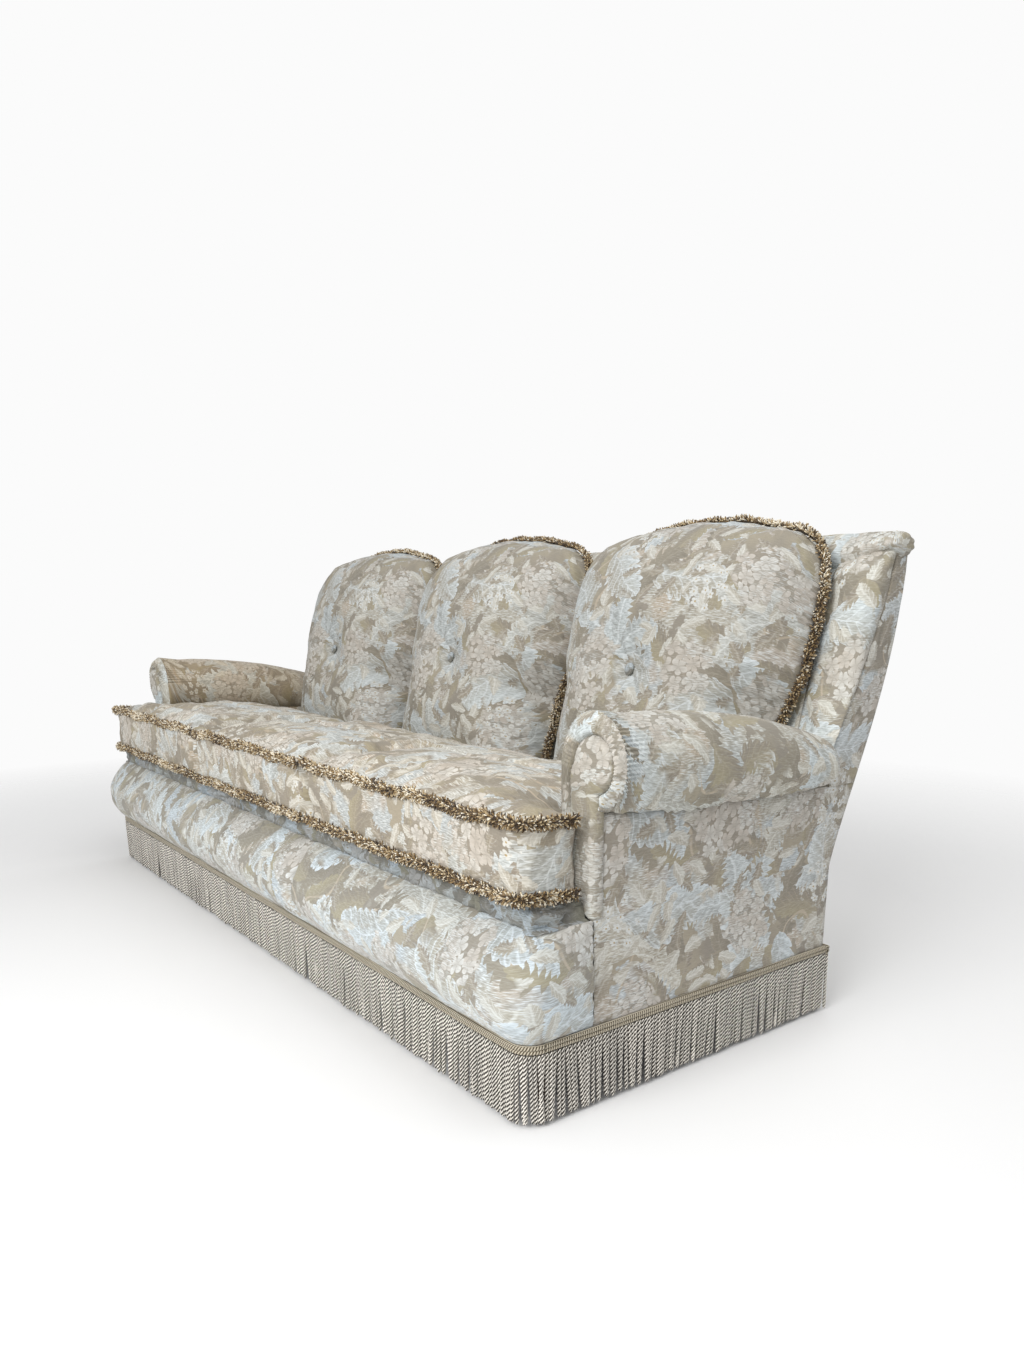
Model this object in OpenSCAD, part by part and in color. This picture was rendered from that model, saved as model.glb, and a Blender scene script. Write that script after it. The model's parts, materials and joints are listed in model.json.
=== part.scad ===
// Three-seater sofa with loose seat and back cushions and a bullion fringe.
// Millimetres, +Z up, front towards -Y, origin on the floor under the middle.
// Lengths along Y are counted from the front face of the trim; placed() moves
// the whole sofa so that the origin lies under the middle of its depth.

/* [Overall] */
// Width of the base over the trim
base_w = 2060; // [1700:10:2400]
// Depth of the base over the trim
base_d = 713; // [712:1:724]
// Radius of the base corners in plan
corner_r = 40; // [36:1:50]
// Clearance between soft pieces that move apart
soft_gap = 2; // [0.5:0.5:4]

/* [Trim] */
// Height of the top of the fringe heading above the floor
trim_h = 132; // [126:1:140]
// Thickness of the fringe heading
trim_t = 8; // [7:0.5:9]
// Height of the woven heading that carries the cords
heading_h = 20; // [14:1:24]
// Gap from the fringe to the floor
floor_gap = 4; // [3:1:8]
// Distance from one fringe cord to the next
cord_pitch = 17.2; // [16:0.1:22]
// Width of one fringe cord along the edge
cord_w = 14; // [10:0.5:15]
// Depth of one fringe cord
cord_t = 7; // [5:0.5:7]
// Radius of the braid cord along the top of the heading
braid_r = 3; // [2:0.5:3.5]

/* [Frame] */
// Height of the underside of the frame
frame_z = 100; // [96:1:104]
// Thickness of the boards of the frame
board_t = 28; // [26:1:30]
// Distance from the trim face to the front face of the front rail
rail_inset = 34; // [32:1:36]
// Height of the seat stretchers
stretcher_h = 50; // [40:1:70]
// Leg of a triangular corner block
block_leg = 80; // [76:1:100]
// Width of an inner upright of the back
upright_w = 30; // [24:1:40]
// Height of the top rail
top_rail_h = 66; // [60:1:68]
// Thickness of the top rail
top_rail_t = 26; // [22:1:28]
// Thickness of the arm rail under the roll
arm_rail_h = 28; // [22:1:34]

/* [Feet] */
// Width of the square top plate of a foot
foot_plate_w = 48; // [44:1:50]
// Thickness of the top plate of a foot
foot_plate_t = 10; // [8:1:14]
// Radius of a foot under its plate
foot_top_r = 24; // [20:1:25]
// Radius of a foot at its bottom
foot_low_r = 17; // [16:1:20]
// Thickness of a glide
glide_t = 6; // [4:1:8]
// Radius of a glide
glide_r = 14; // [12:1:15]
// Radius of the pin of a glide
glide_pin_r = 2; // [1.5:0.5:3]
// Radius of a foot stud
stud_r = 4; // [3:0.5:4.5]
// Length of a foot stud
stud_len = 60; // [50:1:70]
// Radial clearance of studs and pins in their holes
pin_gap = 0.1; // [0.1:0.05:0.3]

/* [Seat springs] */
// Number of zigzag springs
spring_n = 9; // [7:2:9]
// Width of the zigzag
spring_w = 48; // [40:1:52]
// Thickness of the spring wire
wire_t = 4; // [3:0.5:4.5]
// Number of bends along one spring
bend_n = 10; // [8:2:20]
// Width of a spring clip
clip_w = 22; // [16:1:26]
// Thickness of the sheet of a clip
clip_t = 1.5; // [1:0.5:2]

/* [Seat deck and border] */
// Slope of the seat down towards the back, in degrees
seat_rake = 5; // [3:0.5:6]
// Height of the front top edge of the deck
deck_front_z = 334; // [326:1:342]
// Distance from the trim face to the front of the deck
deck_inset = 28; // [26:1:31]
// Distance from the trim face to the side of the deck
deck_side = 26; // [24:1:30]
// Thickness of the padded deck
deck_t = 36; // [30:1:37]
// Thickness of the sheet under the frame
dust_t = 1.5; // [1:0.5:2]
// Height of the top seam of the front border
border_top = 296; // [292:1:297]
// How far the border stands out in front of the trim face
border_bulge = 38; // [28:1:44]
// How far the border runs back along the sides
return_d = 134; // [122:1:142]
// How far a seam pulls the border in beside it
seam_run = 13; // [8:1:16]

/* [Seat cushions] */
// Height of the boxing between the two seams
box_h = 110; // [95:1:120]
// Height of the lower seam above the deck
low_seam = 8; // [7:1:12]
// Height of the crown over the upper seam
seat_crown = 40; // [30:1:48]
// Distance from the trim face to the cushion front
seat_inset = 10; // [8:1:14]
// Room between a seat cushion and the back cushion behind it
seat_back_gap = 10; // [8:1:30]
// How far in from its seams the crown rises
crown_run = 55; // [40:1:70]
// Depth of the ear that runs in front of an arm
ear_d = 120; // [104:1:121]
// Width of the ear beside the inner face of the arm
ear_w = 72; // [64:1:80]
// How far the boxing pulls in between its corners
box_pull = 5; // [3:1:8]
// Radius of the brush fringe on the seat cushions
seat_brush_r = 9; // [7:0.5:10]

/* [Arms] */
// Thickness of an arm from its inner face to the trim face
arm_w = 99; // [92:1:108]
// Distance from the trim face to the front of an arm
arm_front = 134; // [133:1:140]
// Thickness of the padded facing of an arm
facing_t = 17; // [14:1:20]
// Height of the crease under the roll at the front
arm_low_front = 450; // [440:1:460]
// Height of the crease under the roll at its back end
arm_low_rear = 430; // [424:1:436]
// Height of the roll above its crease at the front
roll_h_front = 147; // [138:1:154]
// Height of the roll above its crease at the back
roll_h_rear = 90; // [84:1:98]
// How far the roll stands out beyond the trim face
roll_out = 38; // [32:1:42]
// How far the roll runs past the foot of the inside back
roll_past = 36; // [28:1:38]
// Thickness of the inner arm pad
arm_pad_t = 27; // [22:1:32]
// Radius of the scroll on the facing
scroll_r = 42; // [38:1:45]
// How far the gathered band lies back from the facing
band_back = 4; // [2:1:7]
// How far the facing lies in from the inner face of the arm
facing_in = 32; // [26:1:36]

/* [Back] */
// Height of the top of the back
back_top = 868; // [850:1:880]
// Slope of the inside back from upright, in degrees
back_rake = 15; // [14:0.5:15.5]
// Thickness of the back at the foot of the inside back
back_depth = 69; // [66:1:72]
// How far the outside back sweeps to the rear
rear_sweep = 158; // [152:1:162]
// Height where the sweep starts
sweep_z = 280; // [270:1:290]
// Thickness of the outside cloth and its card
skin_t = 6; // [5:0.5:7]
// Radius of the top roll
top_roll_r = 43; // [41:1:46]
// How far the top roll overhangs the outside back
top_over = 15; // [12:1:18]
// How far the top roll runs past the side panels
top_end = 6; // [2:1:8]
// How far a side roll stands in front of the inside back
wing_proud = 20; // [14:1:21]
// Width of the outer side panel at its foot
wing_low_w = 100; // [90:1:104]
// Width of the outer side panel at its top
wing_top_w = 36; // [30:1:44]

/* [Back cushions] */
// Room between two back cushions, between their brush fringes
pillow_gap = 12; // [6:1:30]
// Room between a back cushion's foot and the arm
foot_gap = 14; // [12:1:30]
// Height of a back cushion along the slope
pillow_h = 642; // [620:1:656]
// Radius of the shoulders
shoulder_r = 110; // [90:1:130]
// Height of the arch over the shoulders
arch_h = 24; // [14:1:34]
// Thickness in front of the edge seam
pillow_front = 165; // [150:1:168]
// Thickness behind the edge seam
pillow_back = 28; // [24:1:30]
// How much further apart the back cushions stand than the seat cushions
pillow_spread = 19; // [16:1:20]
// Height of the button along the slope
button_v = 314; // [300:1:330]
// Depth of the tuft under the button
tuft_d = 24; // [14:1:30]
// Radius of the button
button_r = 12; // [9:0.5:13]
// Height of the button
button_h = 8; // [5:0.5:10]
// Radius of the brush fringe on the back cushions
back_brush_r = 8; // [6:0.5:9]

/* [Hidden] */
$fn = 48;

// Gap between soft pieces that only rest on one another
rest_gap = 0.3;
// How far a covering laps over the edge of its neighbour
lap = 2;
// Room between the arm roll's end and the side roll, and from there to the panel
wing_room = 3;
wing_edge = 11;
half_w = base_w / 2;
panel_x = half_w - trim_t;
panel_y = base_d - trim_t;
board_x = panel_x - skin_t;
rear_board = panel_y - skin_t;
arm_in = half_w - arm_w;
rear_reach = panel_y + rear_sweep + top_over;
roll_y = rear_reach - top_roll_r;
roll_z = back_top - top_roll_r;
inside_foot = panel_y - back_depth;
roll_end = inside_foot + roll_past;
wing_bend = roll_z - top_roll_r * 0.7;
wing_z = arm_low_rear + roll_h_rear;
mid_y = (rear_reach - border_bulge) / 2;
side_start = corner_r + 2;
arm_back = arm_front + facing_t;
arm_mid_x = (arm_in + half_w + roll_out) / 2;
arm_half = (half_w + roll_out - arm_in) / 2;
scroll_x = arm_mid_x + scroll_r / 3;
scroll_z = arm_low_front + roll_h_front / 2;
clip_y = rail_inset + board_t / 2;
rear_clip_y = rear_board - board_t / 2;
cushion_w = 2 * arm_in / 3;
upright_x = cushion_w / 2;
spring_pitch = 2 * arm_in / spring_n;
up_seam = low_seam + box_h;
rail_top = spring_low(clip_y) - clip_t - 0.5;
back_rail_top = spring_low(rear_clip_y) - clip_t - 0.5;
foot_x = board_x - board_t - foot_plate_w / 2;
foot_front_y = rail_inset + board_t + foot_plate_w / 2;
foot_rear_y = rear_board - board_t - foot_plate_w / 2;
foot_mid_y = panel_y - foot_plate_w / 2 - 2;
foot_places = [
    [-foot_x, foot_front_y], [foot_x, foot_front_y],
    [-foot_x, foot_rear_y], [foot_x, foot_rear_y],
    [0, clip_y], [0, foot_mid_y]
];
pillow_seam = pillow_back + rest_gap;
pillow_drop = deck_z(inside_foot - pillow_seam * cos(back_rake)) + rest_gap
    - pillow_seam * sin(back_rake);
brush_sides = 6;
brush_w = 2 * flat_of(back_brush_r) + rest_gap;
pillow_pitch = cushion_w + pillow_spread;
pillow_w = pillow_pitch - pillow_gap - 2 * brush_w;
pillow_foot_w = 2 * (arm_in - pillow_pitch - brush_w - foot_gap);
// Height of the end of the arm roll along the slope of the back
arm_v = (wing_z - pillow_drop) / cos(back_rake);
seat_depth = pillow_front_y(button_v / 2) - seat_back_gap - seat_inset;

// Height of the deck at the distance y behind the trim face
function deck_z(y) = deck_front_z - (y - deck_inset) * tan(seat_rake);

// Height of the underside of the spring wire
function spring_low(y) = deck_z(y) - (deck_t + wire_t) / cos(seat_rake);

// Distance from the middle of a brush tube to its flat side
function flat_of(r) = r * cos(180 / brush_sides);

// Front of a back cushion at the height v along its slope
function pillow_front_y(v) = inside_foot + v * sin(back_rake)
    - (pillow_seam + pillow_swell(abs(button_v - v) / button_v)) * cos(back_rake);

function clamp01(t) = max(0, min(1, t));
function mix(a, b, t) = a + (b - a) * t;

// Heights at which the swept rear outline bends
sweep_n = 14;
sweep_step = (roll_z - sweep_z) / sweep_n;
function sweep_at(t) = panel_y + rear_sweep * pow(sin(90 * clamp01(t)), 1.2);

// Rear face of the sofa at the height z, straight between its bends
function rear_y(z) = let (k = (z - sweep_z) / sweep_step, i = floor(k))
    mix(sweep_at(i / sweep_n), sweep_at((i + 1) / sweep_n), k - i);

// Heights from z0 to z1 with every bend of the rear outline between them
function bends(z0, z1) = concat([z0],
    [for (i = [0:sweep_n]) let (z = sweep_z + i * sweep_step)
        if (z > z0 + 0.5 && z < z1 - 0.5) z],
    [z1]);
function reversed(v) = [for (i = [len(v) - 1:-1:0]) v[i]];

// Front face of the back frame at the height z
function frame_y(z) = rear_y(z) - skin_t - board_t;

// Front face of the inside back at the height z
function inside_y(z) = inside_foot + (z - pillow_drop) * tan(back_rake);

// Crease under the arm roll at the distance y
function arm_low(y) = mix(arm_low_front, arm_low_rear,
    (y - arm_back) / (roll_end - arm_back));

// Height of the arm roll above its crease
function roll_h(y) = mix(roll_h_front, roll_h_rear,
    pow(clamp01((y - arm_back) / (roll_end - arm_back)), 2.5));

// Seam where the side roll meets the outer side panel
function wing_seam(z) = max(roll_end + wing_edge,
    rear_y(z) - mix(wing_low_w, wing_top_w, (z - wing_z) / (roll_z - wing_z)));

module placed() { translate([0, -mid_y, 0]) children(); }
module side(s) { mirror([s < 0 ? 1 : 0, 0, 0]) children(); }

// A slab from x0 to x1 whose outline is drawn in the YZ plane
module slab_x(x0, x1) {
    translate([x0, 0, 0]) rotate([90, 0, 90]) linear_extrude(x1 - x0) children();
}

// A slab from y0 to y1 whose outline is drawn in the XZ plane
module slab_y(y0, y1) {
    translate([0, y1, 0]) rotate([90, 0, 0]) linear_extrude(y1 - y0) children();
}

module box(x0, x1, y0, y1, z0, z1) {
    translate([x0, y0, z0]) cube([x1 - x0, y1 - y0, z1 - z0]);
}

// A closed solid through rings with equal numbers of points
module loft(rings) {
    m = len(rings);
    n = len(rings[0]);
    ends = [for (r = [rings[0], rings[m - 1]]) mean_point(r)];
    points = concat([for (r = rings) each r], ends);
    walls = [for (i = [0:m - 2], j = [0:n - 1]) each
        let (a = i * n + j, b = i * n + (j + 1) % n, c = b + n, d = a + n)
        [[a, c, b], [a, d, c]]];
    caps = [for (j = [0:n - 1]) each
        let (k = (j + 1) % n, top = (m - 1) * n)
        [[m * n, j, k], [m * n + 1, top + k, top + j]]];
    polyhedron(points, concat(walls, caps), convexity = 6);
}

function sum_points(r, i = 0) = i == len(r) - 1 ? r[i] : r[i] + sum_points(r, i + 1);
function mean_point(r) = sum_points(r) / len(r);

// Frame boards

module front_rail() {
    color("BurlyWood") placed() difference() {
        box(-board_x + board_t, board_x - board_t,
            rail_inset, rail_inset + board_t, frame_z, rail_top);
        stud_hole(foot_places[4]);
    }
}

module back_rail() {
    color("BurlyWood") placed() difference() {
        box(-board_x + board_t, board_x - board_t,
            rear_board - board_t, rear_board, frame_z, back_rail_top);
        stud_hole(foot_places[5]);
    }
}

module side_rail(s) {
    color("BurlyWood") placed() side(s)
        box(board_x - board_t, board_x, side_start, rear_board - board_t, frame_z, rail_top);
}

module seat_stretchers() {
    color("BurlyWood") placed() for (s = [-1, 1])
        translate([s * upright_x - board_t / 2, rail_inset + board_t, frame_z])
            cube([board_t, rear_board - 2 * board_t - rail_inset, stretcher_h]);
}

module corner_blocks() {
    inner = board_x - board_t;
    color("Tan") placed() for (s = [-1, 1]) side(s) {
        difference() {
            translate([inner, rail_inset + board_t, frame_z])
                linear_extrude(stretcher_h)
                    polygon([[0, 0], [-block_leg, 0], [0, block_leg]]);
            stud_hole(foot_places[1]);
        }
        difference() {
            translate([inner, rear_board - board_t, frame_z])
                linear_extrude(stretcher_h)
                    polygon([[0, 0], [0, -block_leg], [-block_leg, 0]]);
            stud_hole(foot_places[3]);
        }
    }
}

module arm_post(s) {
    x0 = arm_in + arm_pad_t;
    color("BurlyWood") placed() side(s) slab_x(x0, board_x)
        polygon([
            [arm_back, rail_top], [arm_back + board_t, rail_top],
            [arm_back + board_t, arm_low(arm_back + board_t)],
            [arm_back, arm_low(arm_back)]
        ]);
}

module arm_rail(s) {
    y0 = arm_back + board_t;
    y1 = frame_y(arm_low_rear) + board_t / 4;
    color("BurlyWood") placed() side(s) difference() {
        slab_x(arm_in + arm_pad_t, board_x) polygon([
            [y0, arm_low(y0) - arm_rail_h], [y1, arm_low(y1) - arm_rail_h],
            [y1, arm_low(y1)], [y0, arm_low(y0)]
        ]);
        post_room() upright_outline(frame_z, back_top - top_roll_r);
    }
}

// Outline of a back upright between two heights
module upright_outline(z0, z1) {
    heights = bends(z0, z1);
    polygon(concat(
        [for (z = heights) [frame_y(z), z]],
        [for (z = reversed(heights)) [rear_y(z) - skin_t, z]]
    ));
}

// The space that a back post takes up, from its inner face outwards
module post_room() { slab_x(board_x - board_t, board_x) children(); }

module back_post(s) {
    color("BurlyWood") placed() side(s) slab_x(board_x - board_t, board_x)
        upright_outline(frame_z, roll_z - top_rail_h / 2);
}

module uprights() {
    for (s = [-1, 1])
        slab_x(s * upright_x - upright_w / 2, s * upright_x + upright_w / 2)
            upright_outline(back_rail_top, roll_z - top_rail_h / 2);
}

module back_uprights() { color("BurlyWood") placed() uprights(); }

// Section of the top rail
module top_rail_outline() {
    translate([roll_y, roll_z]) square([top_rail_t, top_rail_h], center = true);
}

module top_rail() {
    color("BurlyWood") placed() slab_x(-board_x, board_x) top_rail_outline();
}

// Feet, studs and glides

module stud_hole(place) {
    translate([place[0], place[1], frame_z - 1])
        cylinder(r = stud_r + pin_gap, h = stud_len / 2 + 2, $fn = 16);
}

module feet() {
    body_h = frame_z - foot_plate_t - glide_t;
    color("SaddleBrown") placed() for (p = foot_places) translate([p[0], p[1], 0])
        difference() {
            union() {
                translate([-foot_plate_w / 2, -foot_plate_w / 2, frame_z - foot_plate_t])
                    cube([foot_plate_w, foot_plate_w, foot_plate_t]);
                translate([0, 0, glide_t])
                    cylinder(r1 = foot_low_r, r2 = foot_top_r, h = body_h, $fn = 24);
            }
            translate([0, 0, frame_z - stud_len / 2 - 1])
                cylinder(r = stud_r + pin_gap, h = stud_len, $fn = 16);
            translate([0, 0, glide_t - 1])
                cylinder(r = glide_pin_r + pin_gap, h = 3 * glide_t, $fn = 16);
        }
}

module foot_studs() {
    color("Silver") placed() for (p = foot_places)
        translate([p[0], p[1], frame_z - stud_len / 2])
            cylinder(r = stud_r, h = stud_len, $fn = 16);
}

module foot_glides() {
    color("DimGray") placed() for (p = foot_places) translate([p[0], p[1], 0]) {
        cylinder(r = glide_r, h = glide_t, $fn = 16);
        translate([0, 0, glide_t - 0.5]) cylinder(r = glide_pin_r, h = 2 * glide_t, $fn = 16);
    }
}

// Seat springs, clips and deck

// Moves and tilts a piece from the deck's own plane to its place
module on_slope() {
    translate([0, deck_inset, deck_front_z]) rotate([-seat_rake, 0, 0])
        translate([0, -deck_inset, 0]) children();
}

// Place along the slope whose height over the floor plan is y
function along(y) = deck_inset + (y - deck_inset) / cos(seat_rake)
    + (deck_t + wire_t / 2) * tan(seat_rake);

// Outline of one zigzag spring, a strip that turns back and forth
module zigzag() {
    y0 = along(clip_y);
    y1 = along(rear_clip_y);
    step = (y1 - y0) / bend_n;
    h = wire_t / 2;
    w = spring_w / 2;
    for (i = [0:bend_n])
        translate([-w, y0 + i * step - h]) square([spring_w, wire_t]);
    for (i = [0:bend_n - 1])
        translate([(i % 2 == 0 ? w - wire_t : -w), y0 + i * step]) square([wire_t, step]);
}

module seat_springs() {
    color("Gray") placed() on_slope() translate([0, 0, -deck_t - wire_t])
        for (i = [0:spring_n - 1])
            translate([(i - (spring_n - 1) / 2) * spring_pitch, 0, 0])
                linear_extrude(wire_t - 0.2) zigzag();
}

// Section of a clip, a folded sheet that holds the end bar of a spring
module clip_outline(y, base) {
    slot = wire_t + 1;
    depth = wire_t + 8;
    translate([y - depth / 2, base]) difference() {
        square([depth, slot + 2 * clip_t]);
        translate([2 * clip_t, clip_t]) square([depth, slot]);
    }
}

module spring_clips() {
    color("DarkGray") placed() for (i = [0:spring_n - 1])
        translate([(i - (spring_n - 1) / 2) * spring_pitch, 0, 0]) {
            slab_x(-clip_w / 2, clip_w / 2) clip_outline(clip_y, rail_top);
            slab_x(-clip_w / 2, clip_w / 2) translate([2 * rear_clip_y, 0]) mirror([1, 0])
                clip_outline(rear_clip_y, back_rail_top);
        }
}

module dust_cover() {
    edge = rail_inset + 2 * lap;
    side = board_x - 2 * lap;
    color("Black") placed() difference() {
        box(-side, side, edge, rear_board - 2 * lap, frame_z - dust_t, frame_z);
        for (p = foot_places) translate([p[0], p[1], frame_z])
            cube(foot_plate_w + lap, center = true);
    }
}

// Plan of the deck: a wide front strip and the part between the arms
module deck_plan(inset = 0) {
    w = half_w - deck_side - inset;
    y0 = deck_inset + inset;
    r = corner_r - inset;
    end = arm_front - rest_gap;
    difference() {
        union() {
            translate([-w + r, y0]) square([2 * (w - r), end - y0]);
            for (s = [-1, 1]) translate([s * (w - r), y0 + r]) circle(r);
            translate([-w, y0 + r]) square([2 * w, end - y0 - r]);
        }
        translate([-w, end]) square([2 * w, 2 * r]);
    }
}

module deck() {
    body_end = rear_board - board_t - lap;
    bottom = deck_t / cos(seat_rake);
    clip_room = 2 * clip_t + 1;
    rail_back = rail_inset + board_t + lap;
    color("Gainsboro") placed() {
        difference() {
            intersection() {
                slab_x(-half_w, half_w) polygon([
                    [0, deck_z(0)], [body_end, deck_z(body_end)],
                    [body_end, deck_z(body_end) - bottom],
                    [rail_back, deck_z(rail_back) - bottom],
                    [rail_back, deck_z(rail_back) - bottom + clip_room],
                    [0, deck_z(rail_back) - bottom + clip_room]
                ]);
                linear_extrude(back_top) {
                    deck_plan();
                    translate([-arm_in, arm_front - lap])
                        square([2 * arm_in, body_end - arm_front + lap]);
                }
            }
            // Room for the tops of the side rails
            for (s = [-1, 1]) side(s)
                box(board_x - board_t - 1, half_w, rail_back, arm_front, frame_z, rail_top + 0.5);
        }
        lip_top = deck_z(rail_back) - bottom + clip_room + 1;
        translate([0, 0, border_top + rest_gap])
            linear_extrude(lip_top - border_top - rest_gap) difference() {
                deck_plan();
                deck_plan(skin_t);
                translate([-half_w, arm_front - skin_t - lap]) square([base_w, corner_r]);
            }
    }
}

// Front border

// Section of the border: distance outwards from the trim face, and height
function border_section(bulge, inner, top_out) = let (
        z0 = frame_z + lap,
        z1 = border_top,
        n = 8)
    concat(
        [[-trim_t, z0], [-inner, z0], [-inner, z1], [-top_out, z1]],
        [for (i = [n - 1:-1:0]) let (t = i / n)
            [mix(-trim_t, -top_out, t) + bulge * pow(sin(180 * t), 0.8),
             mix(trim_h - lap, z1, t)]]
    );

// Height of the swelling over the straight line between its two seams
border_full = border_bulge + (trim_t + deck_inset) / 2;

// Distances from a seam at which the border has a ring, in steps of seam_run
seam_steps = [0, 1, 3, 8];

function seam_pinch(d) = 1 - 0.22 * exp(-d / (2 * seam_run));

// A point of the border at the place p with the outward direction q
function border_ring(p, q, bulge, inner, top_out) =
    [for (c = border_section(bulge, inner, top_out))
        [p[0] + q[0] * c[0], p[1] + q[1] * c[0], c[1]]];

module border_mid() {
    w = (cushion_w - lap) / 2;
    half = [for (k = seam_steps) w - k * seam_run];
    color("LightGray") placed() loft([for (x = concat(-half, [0], reversed(half)))
        border_ring([x, 0], [0, -1], border_full * (x == 0 ? 1 : seam_pinch(w - abs(x))),
            rail_inset, deck_inset)]);
}

module border_end(s) {
    x0 = (cushion_w + lap) / 2;
    x1 = half_w - corner_r;
    turn = 6;
    run = concat([for (k = seam_steps) k * seam_run], [(x1 - x0) / 2, (x1 - x0) * 0.9]);
    front = [for (d = run)
        border_ring([x0 + d, 0], [0, -1], border_full * seam_pinch(d),
            rail_inset, deck_inset)];
    bend = [for (i = [0:turn]) let (a = -90 + 90 * i / turn, t = i / turn)
        border_ring([x1 + corner_r * cos(a), corner_r + corner_r * sin(a)],
            [cos(a), sin(a)], border_full * mix(1, 0.66, t),
            mix(rail_inset, trim_t + skin_t, t), mix(deck_inset, deck_inset * 0.7, t))];
    back = [for (t = [0.35, 0.7, 1])
        border_ring([half_w, mix(corner_r, return_d, t)], [1, 0],
            border_full * mix(0.66, 0.06, pow(t, 1.6)),
            trim_t + skin_t, mix(deck_inset * 0.7, trim_t + 1, t))];
    color("LightGray") placed() side(s) loft(concat(front, bend, back));
}

// Arms

// Outline of the arm roll over its crease, from the inner foot round to the outer
function roll_ring(y, k = 1) = let (
        low = arm_low(y), h = roll_h(y) * k, mid = low + h / 2, n = 12,
        outer = board_x - arm_mid_x)
    concat(
        [[arm_in, y, low]],
        [for (i = [0:n]) let (a = 180 - 180 * i / n)
            [arm_mid_x + arm_half * cos(a), y, mid + h / 2 * sin(a)]],
        [for (a = [-25, -48])
            [arm_mid_x + arm_half * cos(a) - (a == -48 ? 2 * lap : 0), y, mid + h / 2 * sin(a)]],
        [[arm_mid_x + outer, y, low + h * 0.05], [arm_mid_x + outer - lap, y, low]]
    );

module arm_roll(s) {
    depth = roll_end - arm_back;
    rings = concat(
        [for (t = [0, 0.16, 0.34, 0.52, 0.7, 0.86, 0.95]) roll_ring(arm_back + depth * t)],
        [roll_ring(roll_end - depth * 0.015, 0.94), roll_ring(roll_end, 0.8)]
    );
    color("Silver") placed() side(s) loft(rings);
}

// Outline of the facing: the scroll and the column under it
module facing_outline(grow = 0) {
    x0 = arm_in + facing_in;
    z0 = border_top + lap;
    offset(delta = grow) {
        translate([scroll_x, scroll_z]) circle(scroll_r);
        polygon([
            [x0, z0], [panel_x, z0], [panel_x, scroll_z - scroll_r / 2], [scroll_x, scroll_z],
            [scroll_x - scroll_r * 0.8, scroll_z + scroll_r * 0.5], [x0, scroll_z - scroll_r * 0.3]
        ]);
    }
}

module arm_facing(s) {
    color("LightSteelBlue") placed() side(s) slab_y(arm_front, arm_back) facing_outline();
}

module arm_band(s) {
    outline = [for (p = roll_ring(arm_back)) [p[0], p[2]]];
    color("Lavender") placed() side(s) slab_y(arm_front + band_back, arm_back) difference() {
        union() {
            polygon(outline);
            translate([arm_in, border_top + lap])
                square([facing_in + lap, arm_low_front - border_top]);
        }
        facing_outline(rest_gap);
    }
}

module arm_pad(s) {
    end = inside_y(deck_z(inside_foot)) - 1;
    color("Silver") placed() side(s) slab_x(arm_in, arm_in + arm_pad_t) polygon([
        [arm_back, deck_z(arm_back) - deck_t], [end, deck_z(end) - deck_t],
        [end, arm_low(end)], [arm_back, arm_low(arm_back)]
    ]);
}

// Outline of the rear edge between two heights, read upwards
function rear_edge(z0, z1) = [for (z = bends(z0, z1)) [rear_y(z), z]];

module arm_panel(s) {
    low = frame_z + lap;
    top = arm_low_rear + lap;
    y1 = roll_end + lap;
    color("Silver") placed() side(s) slab_x(board_x, panel_x) polygon(concat(
        [[return_d, low]], rear_edge(low, top),
        [[y1, top], [y1, arm_low(y1)], [arm_back, arm_low(arm_back)],
         [arm_back, border_top + lap], [return_d, border_top + lap]]
    ));
}

// Back

// Section of the top roll: a round scroll and the swelling in front of it
module top_roll_outline(grow = 0) {
    front_r = top_roll_r * 0.56;
    fy = roll_y - top_roll_r / 2;
    translate([roll_y, roll_z]) circle(top_roll_r + grow);
    translate([fy, roll_z + 1]) circle(front_r + grow);
    polygon([
        [fy, roll_z + 1 + front_r + grow], [roll_y, roll_z + top_roll_r + grow],
        [roll_y, roll_z - top_roll_r - grow], [fy, roll_z + 1 - front_r - grow]
    ]);
}

module top_roll() {
    color("Silver") placed() difference() {
        slab_x(-panel_x - top_end, panel_x + top_end) difference() {
            top_roll_outline();
            top_rail_outline();
        }
        roll_cuts();
    }
}

// The top roll is cut away where the boards of the back run into it
module roll_cuts() {
    uprights();
    for (s = [-1, 1]) side(s) post_room() upright_outline(frame_z, roll_z - top_rail_h / 2);
}

module inside_back() {
    top = roll_z - top_roll_r - 1;
    foot = deck_z(inside_foot) + 0.5;
    heights = bends(foot + lap, top);
    color("Silver") placed() difference() {
        slab_x(-arm_in, arm_in) polygon(concat(
            [for (z = heights) [inside_y(z), z]],
            [[roll_y - top_roll_r * 0.65, roll_z - 10], [roll_y - top_roll_r * 0.2, roll_z - 10]],
            [for (z = reversed(heights)) [frame_y(z), z]]
        ));
        slab_x(-board_x, board_x) top_roll_outline(rest_gap);
        slab_x(-board_x - 1, board_x + 1) top_rail_outline();
        uprights();
    }
}

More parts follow.
